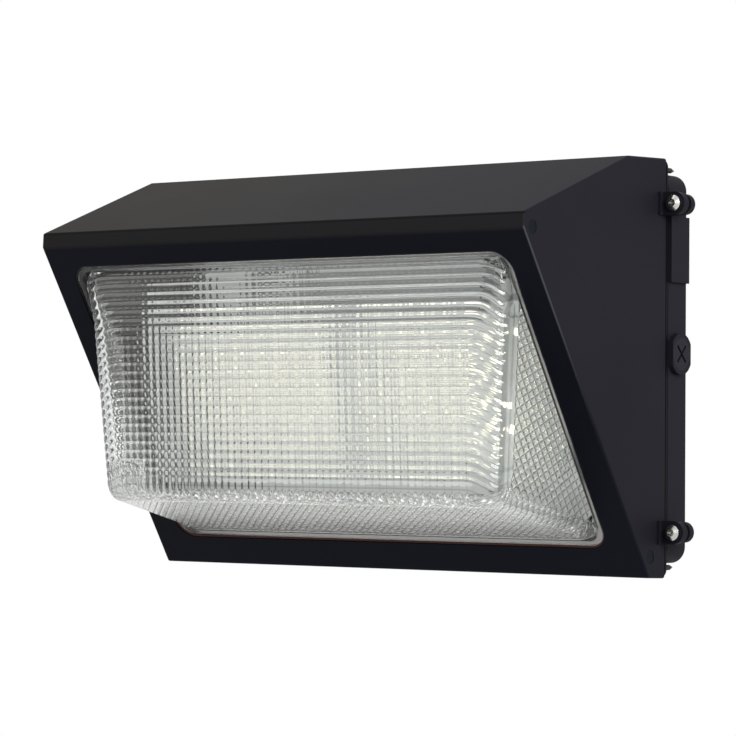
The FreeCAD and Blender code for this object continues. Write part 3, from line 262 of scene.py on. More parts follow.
@dataclass(frozen=True)
class CastFrame:
    """Powder coat outside, and the bare pale casting inside, away from the side walls; the inside
    also glows with painted light from the LEDs.

    On the coat, painted shade makes the sloped front bluer and darker, painted light makes the
    roof's left warmer and the lip paler, a painted highlight runs along the front's right edge,
    and the darkest painted shade lies in the line between roof and lip.
    """

    coat: PowderCoat
    inside: Colour = (0.55, 0.56, 0.56)
    # painted shade: the sloped front is the same paint, drawn darker and bluer for how light falls
    # on it
    front: Colour = (0.0045, 0.0050, 0.0095)
    # painted light: the roof's left drawn warmer and lighter than its right
    roof_painted_light: Colour = (0.0143, 0.0130, 0.0112)
    # painted shade: the darkest line, along the edge between roof and lip
    roof_lip_painted_shade: Colour = (0.0015, 0.0015, 0.0015)
    # painted light: the paler colour drawn on the lip
    brow: Colour = (0.0125, 0.0122, 0.0132)
    # painted highlight along the front's right edge
    edge: Colour = (0.075, 0.077, 0.088)
    half: float = 0.150
    rear: float = -0.0265
    draft: float = 0.031
    # strength of the painted glow that stands in for the LEDs lighting the inside
    flood: float = 0.24

    def make(self) -> bpy.types.Material:
        """Builds the material."""
        shader = Shader(self.coat.name)
        tone, rough, skin = self.coat.layers(shader)
        across, deep, high = shader.parts(shader.place)
        middle = 1.0 - across.size().ramp(self.half, self.half + 0.002)
        roof = self._depth(deep, high, BROW_FRONT, LIP_TOP)
        floor = self._depth(deep, high, SLOPE_FOOT, FLOOR_BACK)
        slope = self._depth(deep, high, LIP_FOOT, SLOPE_FOOT)
        lip = self._depth(deep, high, LIP_TOP, LIP_FOOT)
        brow = self._depth(deep, high, BROW_BACK, BROW_FRONT)
        # the bare pale casting inside, away from the side walls and the rear; the same mask carries
        # the inside's painted glow
        bare = middle * (1.0 - deep.ramp(self.rear - 0.001, self.rear))
        for wall in (roof, floor, slope, lip, brow):
            bare = bare * wall.ramp(0.0014, 0.0018)
        # painted shade on the sloped front: bluer and darker than the rest of the coat
        front = 1.0 - slope.ramp(0.0004, 0.0012)
        tone = shader.mix(front, tone, self.front)
        # painted light: the lip drawn paler than the sloped front
        tone = shader.mix((1.0 - lip.ramp(0.0004, 0.0012)) * 0.9, tone, self.brow)
        # painted light, warmer and lighter towards the roof's left
        roof_painted_light = (1.0 - roof.ramp(0.0004, 0.0012)) * (1.0 - across.ramp(-0.19, 0.19))
        tone = shader.mix(roof_painted_light, tone, self.roof_painted_light)
        # painted shade in a narrow line along the edge between roof and lip
        roof_lip_painted_shade = (1.0 - roof.ramp(0.0006, 0.0014)) * (1.0 - lip.ramp(0.0008, 0.0018))
        tone = shader.mix(roof_lip_painted_shade * 0.8, tone, self.roof_lip_painted_shade)
        # painted highlight along the rounded edge between the sloped front and the right side,
        # fading out towards the bottom
        side = across - deep * self.draft
        edge = side.ramp(0.1799, 0.1808) * (1.0 - slope.ramp(0.0004, 0.0012))
        edge = edge * high.ramp(-0.045, 0.055)
        tone = shader.mix(edge * 0.7, tone, self.edge)
        tone = shader.mix(bare, tone, self.inside)
        # painted light: the bare inside glows as if lit by the LEDs
        painted_glow = shader.mix(bare, BLACK, (0.96, 0.98, 0.98))
        return shader.surface(base_color=tone, roughness=rough,
                              specular_ior_level=self.coat.shine,
                              emission_color=painted_glow, emission_strength=self.flood,
                              normal=shader.bump(skin, self.coat.peel))

    @staticmethod
    def _depth(deep: Value, high: Value, start: tuple[float, float],
               end: tuple[float, float]) -> Value:
        """How far inside a wall a point lies, for a wall from start to end as (Y, Z)."""
        run, rise = end[0] - start[0], end[1] - start[1]
        length = math.hypot(run, rise)
        return (deep - start[0]) * (-rise / length) + (high - start[1]) * (run / length)


@dataclass(frozen=True)
class Moulded:
    """Moulded plastic, rubber or silicone with a fine matt texture."""

    name: str
    colour: Colour
    roughness: float = 0.55
    texture: float = 0.00003
    shine: float = 0.4

    def make(self) -> bpy.types.Material:
        """Builds the material."""
        shader = Shader(self.name)
        broad = shader.noise(30.0, 2.0)
        fine = shader.noise(2200.0, 2.0)
        dark = tuple(part * 0.82 for part in self.colour)
        tone = shader.mix(broad.ramp(0.35, 0.65), dark, self.colour)
        return shader.surface(base_color=tone, roughness=self.roughness + (fine - 0.5) * 0.12,
                              specular_ior_level=self.shine,
                              normal=shader.bump(fine, self.texture))


@dataclass(frozen=True)
class Seal:
    """Silicone that looks red-brown where the lens's light shines through, low down in front."""

    name: str
    lit: Colour
    dark: Colour
    roughness: float = 0.6

    def make(self) -> bpy.types.Material:
        """Builds the material."""
        shader = Shader(self.name)
        _, deep, high = shader.parts(shader.place)
        bright = (1.0 - deep.ramp(-0.034, -0.030)) * (1.0 - high.ramp(-0.105, -0.085))
        fine = shader.noise(2200.0, 2.0)
        tone = shader.mix(bright, self.dark, self.lit)
        return shader.surface(base_color=tone, roughness=self.roughness + (fine - 0.5) * 0.12,
                              specular_ior_level=0.2, normal=shader.bump(fine, 0.00003))


class Lay(Enum):
    """Which way the fine marks run in a bare metal."""

    ROLLED = (1.0, 14.0, 14.0)
    TURNED = (6.0, 1.0, 6.0)


@dataclass(frozen=True)
class BareMetal:
    """Plated or mill-finished metal with fine marks and slight dulling."""

    name: str
    colour: Colour
    roughness: float = 0.28
    lay: Lay = Lay.TURNED

    def make(self) -> bpy.types.Material:
        """Builds the material."""
        shader = Shader(self.name)
        marks = shader.noise(900.0, 3.0, 0.6, self.lay.value)
        broad = shader.noise(60.0, 3.0)
        dull = tuple(part * 0.72 for part in self.colour)
        tone = shader.mix(broad.ramp(0.3, 0.75), dull, self.colour)
        rough = self.roughness + (marks - 0.5) * 0.16 + (broad - 0.5) * 0.10
        return shader.surface(base_color=tone, metallic=1.0, roughness=rough,
                              normal=shader.bump(marks, 0.00002))


@dataclass(frozen=True)
class Glowing:
    """A pale surface with an emission: painted light from the lit LEDs on the boards and reflector,
    and the LEDs' own light on the chips.
    """

    name: str
    colour: Colour
    light: Colour
    strength: float
    roughness: float = 0.4

    def make(self) -> bpy.types.Material:
        """Builds the material."""
        shader = Shader(self.name)
        broad = shader.noise(45.0, 2.0)
        fine = shader.noise(1200.0, 2.0)
        dark = tuple(part * 0.9 for part in self.colour)
        tone = shader.mix(broad.ramp(0.3, 0.7), dark, self.colour)
        return shader.surface(base_color=tone, roughness=self.roughness + (fine - 0.5) * 0.1,
                              emission_color=self.light, emission_strength=self.strength,
                              normal=shader.bump(fine, 0.00002))


@dataclass(frozen=True)
class PressedGlass:
    """Clear pressed glass: smooth ribs in front, a fine lattice on the sides and underneath.

    Painted shade darkens its grooves, and a painted glow lights its under face.
    """

    name: str = "pressed_glass"
    tint: Colour = (0.95, 0.965, 0.955)
    # painted shade: the darker tint drawn where the glass looks dark, in grooves, rib valleys,
    # brink and rib ends
    painted_shade: Colour = (0.30, 0.32, 0.32)
    roughness: float = 0.035
    side_pitch: float = 0.0044
    under_pitch: float = 0.0052
    # colour and strength of the under face's painted glow
    under_painted_glow: Colour = (1.0, 1.0, 0.95)
    glow: float = 0.16

    def make(self) -> bpy.types.Material:
        """Builds the material."""
        shader = Shader(self.name)
        seat = shader.node("ShaderNodeUVMap", {"uv_map": "lens"})
        across, along, _ = shader.parts(seat)
        kept = {name: shader.node("ShaderNodeAttribute", {"attribute_name": name}, None, "Fac")
                for name in ("side", "under", "stipple", "level", "rise", "inward", "ribbed",
                             "turned")}
        level = self._wave(kept["level"], self.side_pitch / MM)
        sloped = self._wave(kept["rise"], self.side_pitch / MM)
        gridded = kept["side"] * kept["inward"].ramp(5.0, 6.0)
        woven = kept["under"] * kept["rise"].ramp(2.0, 4.0)
        brink = kept["side"] * (1.0 - kept["inward"].ramp(1.0, 2.4)) * kept["rise"].ramp(-1.0, 1.0)
        rising = self._wave(across + along * 0.9, self.under_pitch)
        falling = self._wave(across * 0.35 - along * 1.1, self.under_pitch)
        grid = level * sloped * gridded
        weave = rising * (0.55 + 0.45 * falling) * woven
        # painted shade: dark lines drawn in the side lattice, the under strokes, the brink, the rib
        # valleys and the rib ends
        lines = (1.0 - level.ramp(0.18, 0.5) * sloped.ramp(0.18, 0.5)) * gridded
        strokes = (1.0 - rising.ramp(0.1, 0.7) * (0.45 + 0.55 * falling)) * woven
        phase = (along / MM - RIB_START) * (math.pi / RIB_PITCH)
        valleys = (1.0 - phase.sine().size().ramp(0.05, 0.5)) * kept["ribbed"]
        ends = kept["turned"].ramp(0.80, 0.86) * (1.0 - kept["turned"].ramp(0.93, 0.99))
        shaded = kept["turned"].ramp(0.15, 0.75) * 0.25 + ends
        painted_shade_mask = lines + strokes * 0.75 + brink * 0.9 + valleys * 0.6 + shaded
        tone = shader.mix(painted_shade_mask, self.tint, self.painted_shade)
        wave = shader.noise(85.0, 2.0)
        speck = shader.noise(420.0, 1.0)
        normal = shader.bump(wave, 0.0006, 0.5)
        relief = grid * 0.7 + weave + speck * kept["stipple"] * 3.0
        normal = shader.bump(relief, 0.0012, 1.0, normal)
        rough = self.roughness + kept["under"] * 0.06 + kept["side"] * 0.03
        # painted light: the under face glows, more where the glass stands further out and less on
        # its strokes
        lit = kept["under"] * (0.25 + 0.75 * kept["rise"].ramp(2.0, 46.0)) * (1.0 - strokes * 0.85)
        glow = shader.mix(lit, BLACK, self.under_painted_glow)
        return shader.surface(base_color=tone, roughness=rough, ior=1.48,
                              transmission_weight=1.0, normal=normal,
                              emission_color=glow, emission_strength=self.glow)

    @staticmethod
    def _wave(run: Value, pitch: float) -> Value:
        """Pillows of one pitch along a run: 0 in the grooves, 1 on the crowns."""
        return (run * (math.pi / pitch)).sine().size().power(0.7)


@dataclass(frozen=True)
class LinedTray:
    """Dark painted sheet, pale behind the lens and zinc-coated on the side towards the wall.

    The pale part also glows with painted light from the LEDs.
    """

    name: str
    edge: Colour
    middle: Colour
    # colour and strength of the painted glow on the pale middle, which stands in for LED light
    light: Colour
    strength: float
    back: Colour = (0.30, 0.31, 0.31)

    def make(self) -> bpy.types.Material:
        """Builds the material."""
        shader = Shader(self.name)
        across, deep, height = shader.parts(shader.place)
        rear = deep.ramp(-0.0236, -0.0232) * (1.0 - across.size().ramp(0.174, 0.175))
        rear = rear * (1.0 - height.size().ramp(0.1125, 0.1132))
        inside = (1.0 - across.size().ramp(0.166, 0.168)) * (1.0 - height.size().ramp(0.109, 0.111))
        inside = inside * (1.0 - rear)
        broad = shader.noise(40.0, 2.0)
        skin = shader.noise(1500.0, 2.0)
        pale = shader.mix(broad.ramp(0.3, 0.7), tuple(part * 0.9 for part in self.middle),
                          self.middle)
        spangle = shader.noise(130.0, 3.0)
        zinc = shader.mix(spangle.ramp(0.35, 0.7), self.back, tuple(p * 1.25 for p in self.back))
        tone = shader.mix(inside, shader.mix(rear, self.edge, zinc), pale)
        # painted light: the pale middle glows as if lit by the LEDs
        glow = shader.mix(inside, BLACK, self.light)
        return shader.surface(base_color=tone, roughness=0.45 + (skin - 0.5) * 0.1,
                              specular_ior_level=0.05, emission_color=glow,
                              emission_strength=self.strength,
                              normal=shader.bump(skin, 0.00004))


FINISHES = {
    "painted_casting": CastFrame(PowderCoat("powder_coat_casting", (0.0075, 0.0072, 0.0106),
                                            shine=0.045)),
    "painted_sheet": LinedTray("powder_coat_sheet", (0.003, 0.003, 0.0035), (0.72, 0.73, 0.72),
                               (1.0, 1.0, 0.97), 0.20),
    "painted_plug": PowderCoat("powder_coat_plug", (0.0085, 0.0080, 0.0115), 0.5, 0.07),
    "plug_plastic": Moulded("plug_plastic", (0.003, 0.0045, 0.009), 0.5, shine=0.05),
    "silicone_red": Seal("silicone_red", (0.085, 0.034, 0.026), (0.012, 0.010, 0.010)),
    "black_rubber": Moulded("black_rubber", (0.012, 0.012, 0.012), 0.7),
    "zinc_steel": BareMetal("zinc_steel", (0.62, 0.62, 0.60), 0.34, Lay.ROLLED),
    "black_screw": PowderCoat("black_oxide", (0.02, 0.02, 0.02), 0.4),
    "stainless": BareMetal("stainless", (0.66, 0.65, 0.62), 0.22),
    "bare_aluminium": BareMetal("mill_aluminium", (0.78, 0.79, 0.80), 0.36, Lay.ROLLED),
    # the boards' and reflector's emission is painted light from the LEDs; the chips' emission is
    # the LEDs' own light
    "board_white": Glowing("board_white", (0.82, 0.83, 0.80), (1.0, 0.99, 0.95), 0.07),
    "chip_phosphor": Glowing("chip_phosphor", (0.9, 0.76, 0.36), (1.0, 0.95, 0.78), 2.25, 0.2),
    "thermal_pad": Moulded("thermal_pad", (0.35, 0.40, 0.50), 0.7),
    "white_sheet": Glowing("reflector_white", (0.85, 0.86, 0.84), (0.97, 1.0, 1.0), 0.09),
    "driver_case": PowderCoat("driver_enamel", (0.42, 0.43, 0.44), 0.4, 0.5),
    "surge_case": Moulded("surge_case", (0.03, 0.03, 0.033), 0.35),
    "lead_insulation": Moulded("wire_insulation", (0.05, 0.05, 0.05), 0.5),
    "connector_plastic": Moulded("connector_plastic", (0.75, 0.28, 0.04), 0.35),
    "ground_green": PowderCoat("ground_green", (0.03, 0.30, 0.08), 0.35, 0.5),
}


# ------------------------------------------------------------------ places
@dataclass(frozen=True)
class SlopeFrame:
    """The sloped front face's own frame, in millimetres from the lip's lower edge."""

    lip_depth: float = 171.7
    lip_height: float = 73.6
    tilt: float = math.atan((171.7 - 42.3) / (73.6 + 122.4))

    def place(self, points: np.ndarray) -> np.ndarray:
        """Turns (across, down, out) in millimetres into row-frame metres."""
        across, down, out = points.T
        sine, cosine = math.sin(self.tilt), math.cos(self.tilt)
        depth = -self.lip_depth + down * sine - out * cosine
        height = self.lip_height - down * cosine - out * sine
        return np.stack([across, depth, height], axis=1) * MM


def face_outwards(mesh: bpy.types.Mesh) -> None:
    """Turns every face of a closed mesh outwards."""
    work = bmesh.new()
    work.from_mesh(mesh)
    bmesh.ops.recalc_face_normals(work, faces=work.faces)
    work.to_mesh(mesh)
    work.free()


def mesh_object(name: str, points: np.ndarray, faces: list[tuple[int, ...]],
                smooth: bool = True) -> bpy.types.Object:
    """A mesh object from points in metres and faces, linked to the scene.

    Args:
        name: the object's name.
        points: one row for each vertex.
        faces: vertex numbers of each face.
        smooth: whether the faces shade smoothly.

    Returns:
        The new object.
    """
    mesh = bpy.data.meshes.new(name)
    mesh.from_pydata([tuple(point) for point in points], [], faces)
    mesh.polygons.foreach_set("use_smooth", [smooth] * len(mesh.polygons))
    mesh.update()
    made = bpy.data.objects.new(name, mesh)
    bpy.context.scene.collection.objects.link(made)
    return made


# ------------------------------------------------------------------ the lens
@dataclass(frozen=True)
class SkinGrid:
    """One face of the lens as rows of points, with what the ribs and patterns need."""

    points: np.ndarray
    run: np.ndarray
    across: np.ndarray
    front: np.ndarray
    under: np.ndarray
    side: np.ndarray
    inward: np.ndarray
    turned: np.ndarray


@dataclass
class Lens:
    """The ribbed glass lens: horizontal prisms outside, upright flutes inside."""

    frame: SlopeFrame
    half: float = 155.8
    taper: float = math.tan(math.radians(8.4))
    root: float = -7.8
    top: tuple[float, float] = (19.0, -3.4)
    corner: tuple[float, float] = (140.0, 67.0)
    foot: tuple[float, float] = (210.0, -1.0)
    wall: float = 4.0
    plan_radius: float = 12.0
    edge_radius: float = 9.0
    side_radius: float = 13.0
    hook: float = 14.0
    hook_start: float = 14.0
    ribs: int = 23
    rib_depth: float = 1.15
    flute_pitch: float = 5.0
    flute_depth: float = 0.42
    flute_half: float = 127.0

    def outline(self, inset: float, step: float) -> tuple[np.ndarray, np.ndarray]:
        """The lens's upright profile as (down, out) points and which part each lies on.

        Args:
            inset: how far inside the outer face.
            step: spacing of the points along the profile.

        Returns:
            The points, and for each 0 on the front face rising to 1 on the under face.
        """
        start = np.array(self.top)
        bend = np.array(self.corner)
        end = np.array(self.foot)
        ahead = (bend - start) / np.linalg.norm(bend - start)
        after = (end - bend) / np.linalg.norm(end - bend)
        inward = np.array([ahead[1], -ahead[0]])
        inward_after = np.array([after[1], -after[0]])
        begin = start + inward * inset + ahead * inset * 0.6
        finish = end + inward_after * inset - after * inset * 0.6
        spread = 1.0 + float(inward @ inward_after)
        middle = bend + (inward + inward_after) * inset / spread
        radius = self.edge_radius - inset / 2.0
        turn = math.acos(float(ahead @ after))
        reach = radius * math.tan(turn / 2.0)
        first = middle - ahead * reach
        second = middle + after * reach
        centre = first + inward * radius
        front = self._spaced(begin, first, step)
        count = max(4, int(radius * turn / step) + 1)
        angles = np.linspace(0.0, turn, count + 1)[1:-1]
        arc = [centre - inward * radius * math.cos(a) + ahead * radius * math.sin(a)
               for a in angles]
        below = self._spaced(second, finish, step)
        points = np.vstack([front, arc, below])
        share = np.concatenate([np.zeros(len(front)), angles / turn, np.ones(len(below))])
        return points, share

    @staticmethod
    def _spaced(start: np.ndarray, end: np.ndarray, step: float) -> np.ndarray:
        """Evenly spaced points from start to end."""
        count = max(2, int(np.linalg.norm(end - start) / step) + 1)
        return start + np.linspace(0.0, 1.0, count)[:, None] * (end - start)

    def skin(self, inset: float, step: float, columns: np.ndarray, root: float) -> SkinGrid:
        """The outer or inner face as a grid of rows across the lens.

        Args:
            inset: how far inside the outer face.
            step: spacing of the rows along the profile.
            columns: where the flat part's points stand, from -1 to 1.
            root: how far out of the sloped face the grid ends.

        Returns:
            The grid's points and their zones.
        """
        profile, share = self.outline(inset, step)
        lengths = np.concatenate([[0.0], np.cumsum(np.linalg.norm(np.diff(profile, axis=0),
                                                                 axis=1))])
        rows = []
        low, high = profile[0, 0], profile[-1, 0]
        bends = np.radians(np.linspace(0.0, 90.0, 17))
        for (down, out), run, under in zip(profile, lengths, share):
            half = self.half - inset - self.taper * (out + 8.0)
            for gap in (down - low, high - down):
                if gap < self.plan_radius:
                    short = self.plan_radius - gap
                    half -= self.plan_radius - math.sqrt(self.plan_radius ** 2 - short ** 2)
            drop = out - root
            radius = min(max(self.side_radius - inset / 2.0, 1.2), drop * 0.6)
            flat = half - radius
            side_steps = np.linspace(0.0, 1.0, 15)[1:]
            curve = [(x * flat, 0.0, 0.0, x * flat) for x in columns]
            for angle in bends[1:]:
                curve.append((flat + radius * math.sin(angle), radius * (1 - math.cos(angle)),
                              0.0, flat + radius * angle))
            for part in side_steps:
                fall = radius + (drop - radius) * part
                far = half + self.taper * (fall - radius)
                curve.append((far, fall, 1.0, flat + radius * math.pi / 2 + fall - radius))
            mirrored = [(-x, fall, beside, -u) for x, fall, beside, u in curve[::-1]
                        if x > flat * columns[-1] + 1e-6]
            section = np.array(mirrored + curve)
            turned = np.clip((np.abs(section[:, 0]) - flat) / radius, 0.0, 1.0)
            hooked = np.clip((np.abs(section[:, 0]) - flat + self.hook_start)
                             / (radius + self.hook_start), 0.0, 1.0) ** 3.0
            share = radius / self.side_radius
            row = np.empty((len(section), 10))
            row[:, 0] = section[:, 0]
            row[:, 1] = down
            row[:, 2] = out - section[:, 1]
            row[:, 3] = run - hooked * (1.0 - under) * self.hook * share
            row[:, 4] = section[:, 3]
            row[:, 5] = (1 - under) * (1 - section[:, 2]) * np.clip((0.92 - turned) / 0.2, 0, 1)
            row[:, 6] = under * (1 - section[:, 2])
            row[:, 7] = section[:, 2]
            row[:, 8] = np.maximum(section[:, 1] - radius, 0.0) + 10.0 * under
            row[:, 9] = turned * (1 - section[:, 2]) * share
            rows.append(row)
        first, last = rows[0].copy(), rows[-1].copy()
        first[:, 2] = np.minimum(first[:, 2], root)
        last[:, 2] = np.minimum(last[:, 2], root)
        grid = np.array([first, *rows, last])
        return SkinGrid(grid[..., :3], *(grid[..., column] for column in range(3, 10)))

    def shell(self) -> bpy.types.Object:
        """The smooth closed shell, outer face and inner face joined at the root."""
        wing = np.linspace(0.86, 1.0, 13)
        plain = np.concatenate([-wing[::-1], np.linspace(-0.86, 0.86, 41)[1:-1], wing])
        count = int(2 * 148 / self.flute_pitch * 8)
        dense = np.linspace(-1.0, 1.0, count + 1)
        outer = self.skin(0.0, 0.66, plain, self.root)
        inner = self.skin(self.wall, 3.2, dense, self.root)
        points, faces, runs, zones = [], [], [], []
        rims = []
        base = 0
        for grid, flip in ((outer, False), (inner, True)):
            tall, wide = grid.run.shape
            points.append(self.frame.place(grid.points.reshape(-1, 3)))
            numbers = base + np.arange(tall * wide).reshape(tall, wide)
            for row in range(tall - 1):
                for column in range(wide - 1):
                    quad = (numbers[row, column], numbers[row + 1, column],
                            numbers[row + 1, column + 1], numbers[row, column + 1])
                    faces.append(tuple(int(n) for n in (quad[::-1] if flip else quad)))
            rims.append([*numbers[0, :], *numbers[1:, -1], *numbers[-1, -2::-1],
                         *numbers[-2:0:-1, 0]])
            ribs = grid.front * float(not flip)
            flutes = np.clip((self.flute_half - np.abs(grid.across)) / 1.0, 0, 1)
            flutes = flutes * (1 - grid.side) * float(flip)
            flutes = flutes * (0.3 + 0.7 * np.clip((grid.run - 12.0) / 40.0, 0, 1))
            runs.append(np.stack([grid.run, grid.across], axis=-1).reshape(-1, 2))
            down = grid.points[..., 1]
            level = down + 0.28 * (1.0 - down / 210.0) * grid.points[..., 2]
            corner = (grid.across < -112.0) & (grid.run > 116.0) & (grid.front > 0.5)
            zones.append(np.stack([ribs, flutes, grid.under * (not flip), grid.side * (not flip),
                                   corner * float(not flip), level, grid.points[..., 2],
                                   grid.inward, grid.turned * float(not flip)],
                                  axis=-1).reshape(-1, 9))
            base += tall * wide
        faces.extend(self._bridge(rims[0], rims[1], np.vstack(points)))
        made = mesh_object("ribbed_lens", np.vstack(points), faces)
        face_outwards(made.data)
        self._note(made.data, np.vstack(runs), np.vstack(zones))
        return made

    @staticmethod
    def _bridge(outer: list[int], inner: list[int], points: np.ndarray) -> list[tuple[int, ...]]:
        """Triangles between two closed rings of different point counts."""
        def lengths(ring: list[int]) -> np.ndarray:
            """How far round the ring each point lies, from 0 to 1."""
            loop = points[ring + ring[:1]]
            along = np.concatenate([[0.0], np.cumsum(np.linalg.norm(np.diff(loop, axis=0),
                                                                    axis=1))])
            return along / along[-1]

        first, second = lengths(outer), lengths(inner)
        faces = []
        i = j = 0
        while i < len(outer) or j < len(inner):
            a, b = outer[i % len(outer)], inner[j % len(inner)]
            if j >= len(inner) or (i < len(outer) and first[i + 1] <= second[j + 1]):
                faces.append((int(a), int(b), int(outer[(i + 1) % len(outer)])))
                i += 1
            else:
                faces.append((int(a), int(b), int(inner[(j + 1) % len(inner)])))
                j += 1
        return faces

    @staticmethod
    def _note(mesh: bpy.types.Mesh, runs: np.ndarray, zones: np.ndarray) -> None:
        """Stores the zones and the lens's own coordinates on the mesh."""
        for name, column in (("rib_run", runs[:, 0]), ("flute_run", runs[:, 1]),
                             ("ribbed", zones[:, 0]), ("fluted", zones[:, 1]),
                             ("under", zones[:, 2]), ("side", zones[:, 3]),
                             ("stipple", zones[:, 4]), ("level", zones[:, 5]),
                             ("rise", zones[:, 6]), ("inward", zones[:, 7]),
                             ("turned", zones[:, 8])):
            kept = mesh.attributes.new(name, "FLOAT", "POINT")
            kept.data.foreach_set("value", column.astype(np.float32))
        corners = np.empty(len(mesh.loops), dtype=np.int32)
        mesh.loops.foreach_get("vertex_index", corners)
        seats = mesh.uv_layers.new(name="lens")
        seats.data.foreach_set("uv", (runs[corners][:, ::-1] * MM).astype(np.float32).ravel())

    def ribs_tree(self) -> bpy.types.NodeTree:
        """The node tree that raises the ribs outside and sinks the flutes inside."""
        tree = bpy.data.node_groups.new("raise_ribs", "GeometryNodeTree")
        face = tree.interface
        face.new_socket("Geometry", in_out="INPUT", socket_type="NodeSocketGeometry")
        for name in ("Rib Pitch", "Rib Depth", "Rib Start", "Rib End", "Flute Pitch",
                     "Flute Depth"):
            face.new_socket(name, in_out="INPUT", socket_type="NodeSocketFloat")
        face.new_socket("Glass", in_out="INPUT", socket_type="NodeSocketMaterial")
        face.new_socket("Geometry", in_out="OUTPUT", socket_type="NodeSocketGeometry")
        graph = Graph(tree)
        given = graph.node("NodeGroupInput").socket.node

        def named(name: str) -> Value:
            """One of the tree's own inputs."""
            return Value(graph, given.outputs[name])

        def stored(name: str) -> Value:
            """A number kept on the mesh."""
            return graph.node("GeometryNodeInputNamedAttribute", {"data_type": "FLOAT"},
                              {"Name": name}, "Attribute")

        run = stored("rib_run")
        phase = (run - named("Rib Start")) / named("Rib Pitch")
        crown = (phase * math.pi).sine().size().power(0.85)
        held = graph.node("ShaderNodeMapRange", {"interpolation_type": "SMOOTHSTEP"},
                          {0: run, 1: named("Rib Start"), 2: named("Rib Start") + 0.5})
        ended = graph.node("ShaderNodeMapRange", {"interpolation_type": "SMOOTHSTEP"},
                           {0: run, 1: named("Rib End") - 0.5, 2: named("Rib End")})
        raised = (crown - 1.0) * stored("ribbed") * held * (1.0 - ended) * named("Rib Depth")
        beat = stored("flute_run") / named("Flute Pitch")
        hollow = (beat * math.pi).sine().size().power(1.8)
        sunk = (1.0 - hollow) * stored("fluted") * named("Flute Depth")
        normal = graph.node("GeometryNodeInputNormal")
        shift = graph.node("ShaderNodeVectorMath", {"operation": "SCALE"},
                           {"Vector": normal, "Scale": (raised - sunk) * MM})
        moved = graph.node("GeometryNodeSetPosition", None,
                           {"Geometry": named("Geometry"), "Offset": shift})
        real = graph.node("GeometryNodeRealizeInstances", None, {"Geometry": moved})
        dressed = graph.node("GeometryNodeSetMaterial", None,
                             {"Geometry": real, "Material": named("Glass")})
        graph.node("NodeGroupOutput", None, {"Geometry": dressed})
        return tree

    def build(self, glass: bpy.types.Material, band: bpy.types.Material) -> bpy.types.Object:
        """Builds the ribbed lens with its flange and rim band."""
        shell = self.shell()
        sizes = {"Rib Pitch": RIB_PITCH, "Rib Depth": self.rib_depth, "Rib Start": RIB_START,
                 "Rib End": RIB_START + self.ribs * RIB_PITCH, "Flute Pitch": self.flute_pitch,
                 "Flute Depth": self.flute_depth, "Glass": glass}
        ribbed = apply_tree(shell, self.ribs_tree(), sizes)
        ring = self.rim(band)
        return join("ribbed_lens", [ribbed, ring])

    def rim(self, band: bpy.types.Material) -> bpy.types.Object:
        """The flange and the smooth band that stands in the frame's window."""
        section = ((154.0, -8.0), (166.0, -8.0), (166.0, -5.0), (159.0, -5.0), (159.0, -1.6),
                   (158.4, -1.0), (155.5, -1.0), (154.0, -2.5))
        outline = []
        for half, out in section:
            grow = half - 160.0
            outline.append(self._ring(160.0 + grow, 14.0 - grow, 215.0 + grow,
                                      13.0 + grow, out))
        count = len(outline[0])
        points = self.frame.place(np.vstack(outline))
        faces = []
        for ring in range(len(outline)):
            after = (ring + 1) % len(outline)
            for spot in range(count):
                ahead = (spot + 1) % count
                faces.append((ring * count + spot, ring * count + ahead,
                              after * count + ahead, after * count + spot))
        made = mesh_object("lens_rim", points, faces, smooth=False)
        face_outwards(made.data)
        made.data.materials.append(band)
        return made

    @staticmethod
    def _ring(half: float, top: float, bottom: float, radius: float, out: float) -> np.ndarray:
        """A rounded rectangle's outline in the slope frame."""
        radius = max(radius, 1.0)
        middles = ((half - radius, bottom - radius, 0), (-half + radius, bottom - radius, 90),
                   (-half + radius, top + radius, 180), (half - radius, top + radius, 270))
        points = []
        for across, down, start in middles:
            for angle in np.radians(np.linspace(start, start + 90, 13)):
                points.append((across + radius * math.cos(angle),
                               down + radius * math.sin(angle), out))
        return np.array(points)


def apply_tree(base: bpy.types.Object, tree: bpy.types.NodeTree, sizes: dict) -> bpy.types.Object:
    """Runs a geometry tree on an object and keeps the result as a plain mesh.

    Args:
        base: the object whose mesh goes in.
        tree: the geometry node tree.
        sizes: what each of its named inputs is.

    Returns:
        The same object with the made mesh and no modifier.
    """
    modifier = base.modifiers.new("made", "NODES")
    modifier.node_group = tree
    for item in tree.interface.items_tree:
        if item.in_out == "INPUT" and item.name in sizes:
            modifier[item.identifier] = sizes[item.name]
    bpy.context.view_layer.update()
    graph = bpy.context.evaluated_depsgraph_get()
    made = bpy.data.meshes.new_from_object(base.evaluated_get(graph))
    base.modifiers.remove(modifier)
    base.data = made
    return base


def join(name: str, pieces: list[bpy.types.Object]) -> bpy.types.Object:
    """Joins several mesh objects into the first and names it."""
    with bpy.context.temp_override(active_object=pieces[0], selected_editable_objects=pieces):
        bpy.ops.object.join()
    pieces[0].name = name
    pieces[0].data.name = name
    return pieces[0]


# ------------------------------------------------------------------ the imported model
@dataclass
class Casework:
    """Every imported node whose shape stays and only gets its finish."""

    record: dict
    nodes: dict

    def dress(self, hidden: set[str]) -> None:
        """Gives each node the material of its slot.

        Args:
            hidden: nodes that another piece stands for.
        """
        made = {slot: finish.make() for slot, finish in FINISHES.items()}
        for part in self.record["subparts"]:
            name = part["node"]
            if name in hidden or name not in self.nodes:
                continue
            held = self.nodes[name]
            material = made[part["material_slot"]]
            held.data.materials.clear()
            held.data.materials.append(material)
            LOG.info("dressed %s as %s", name, part["material_slot"])


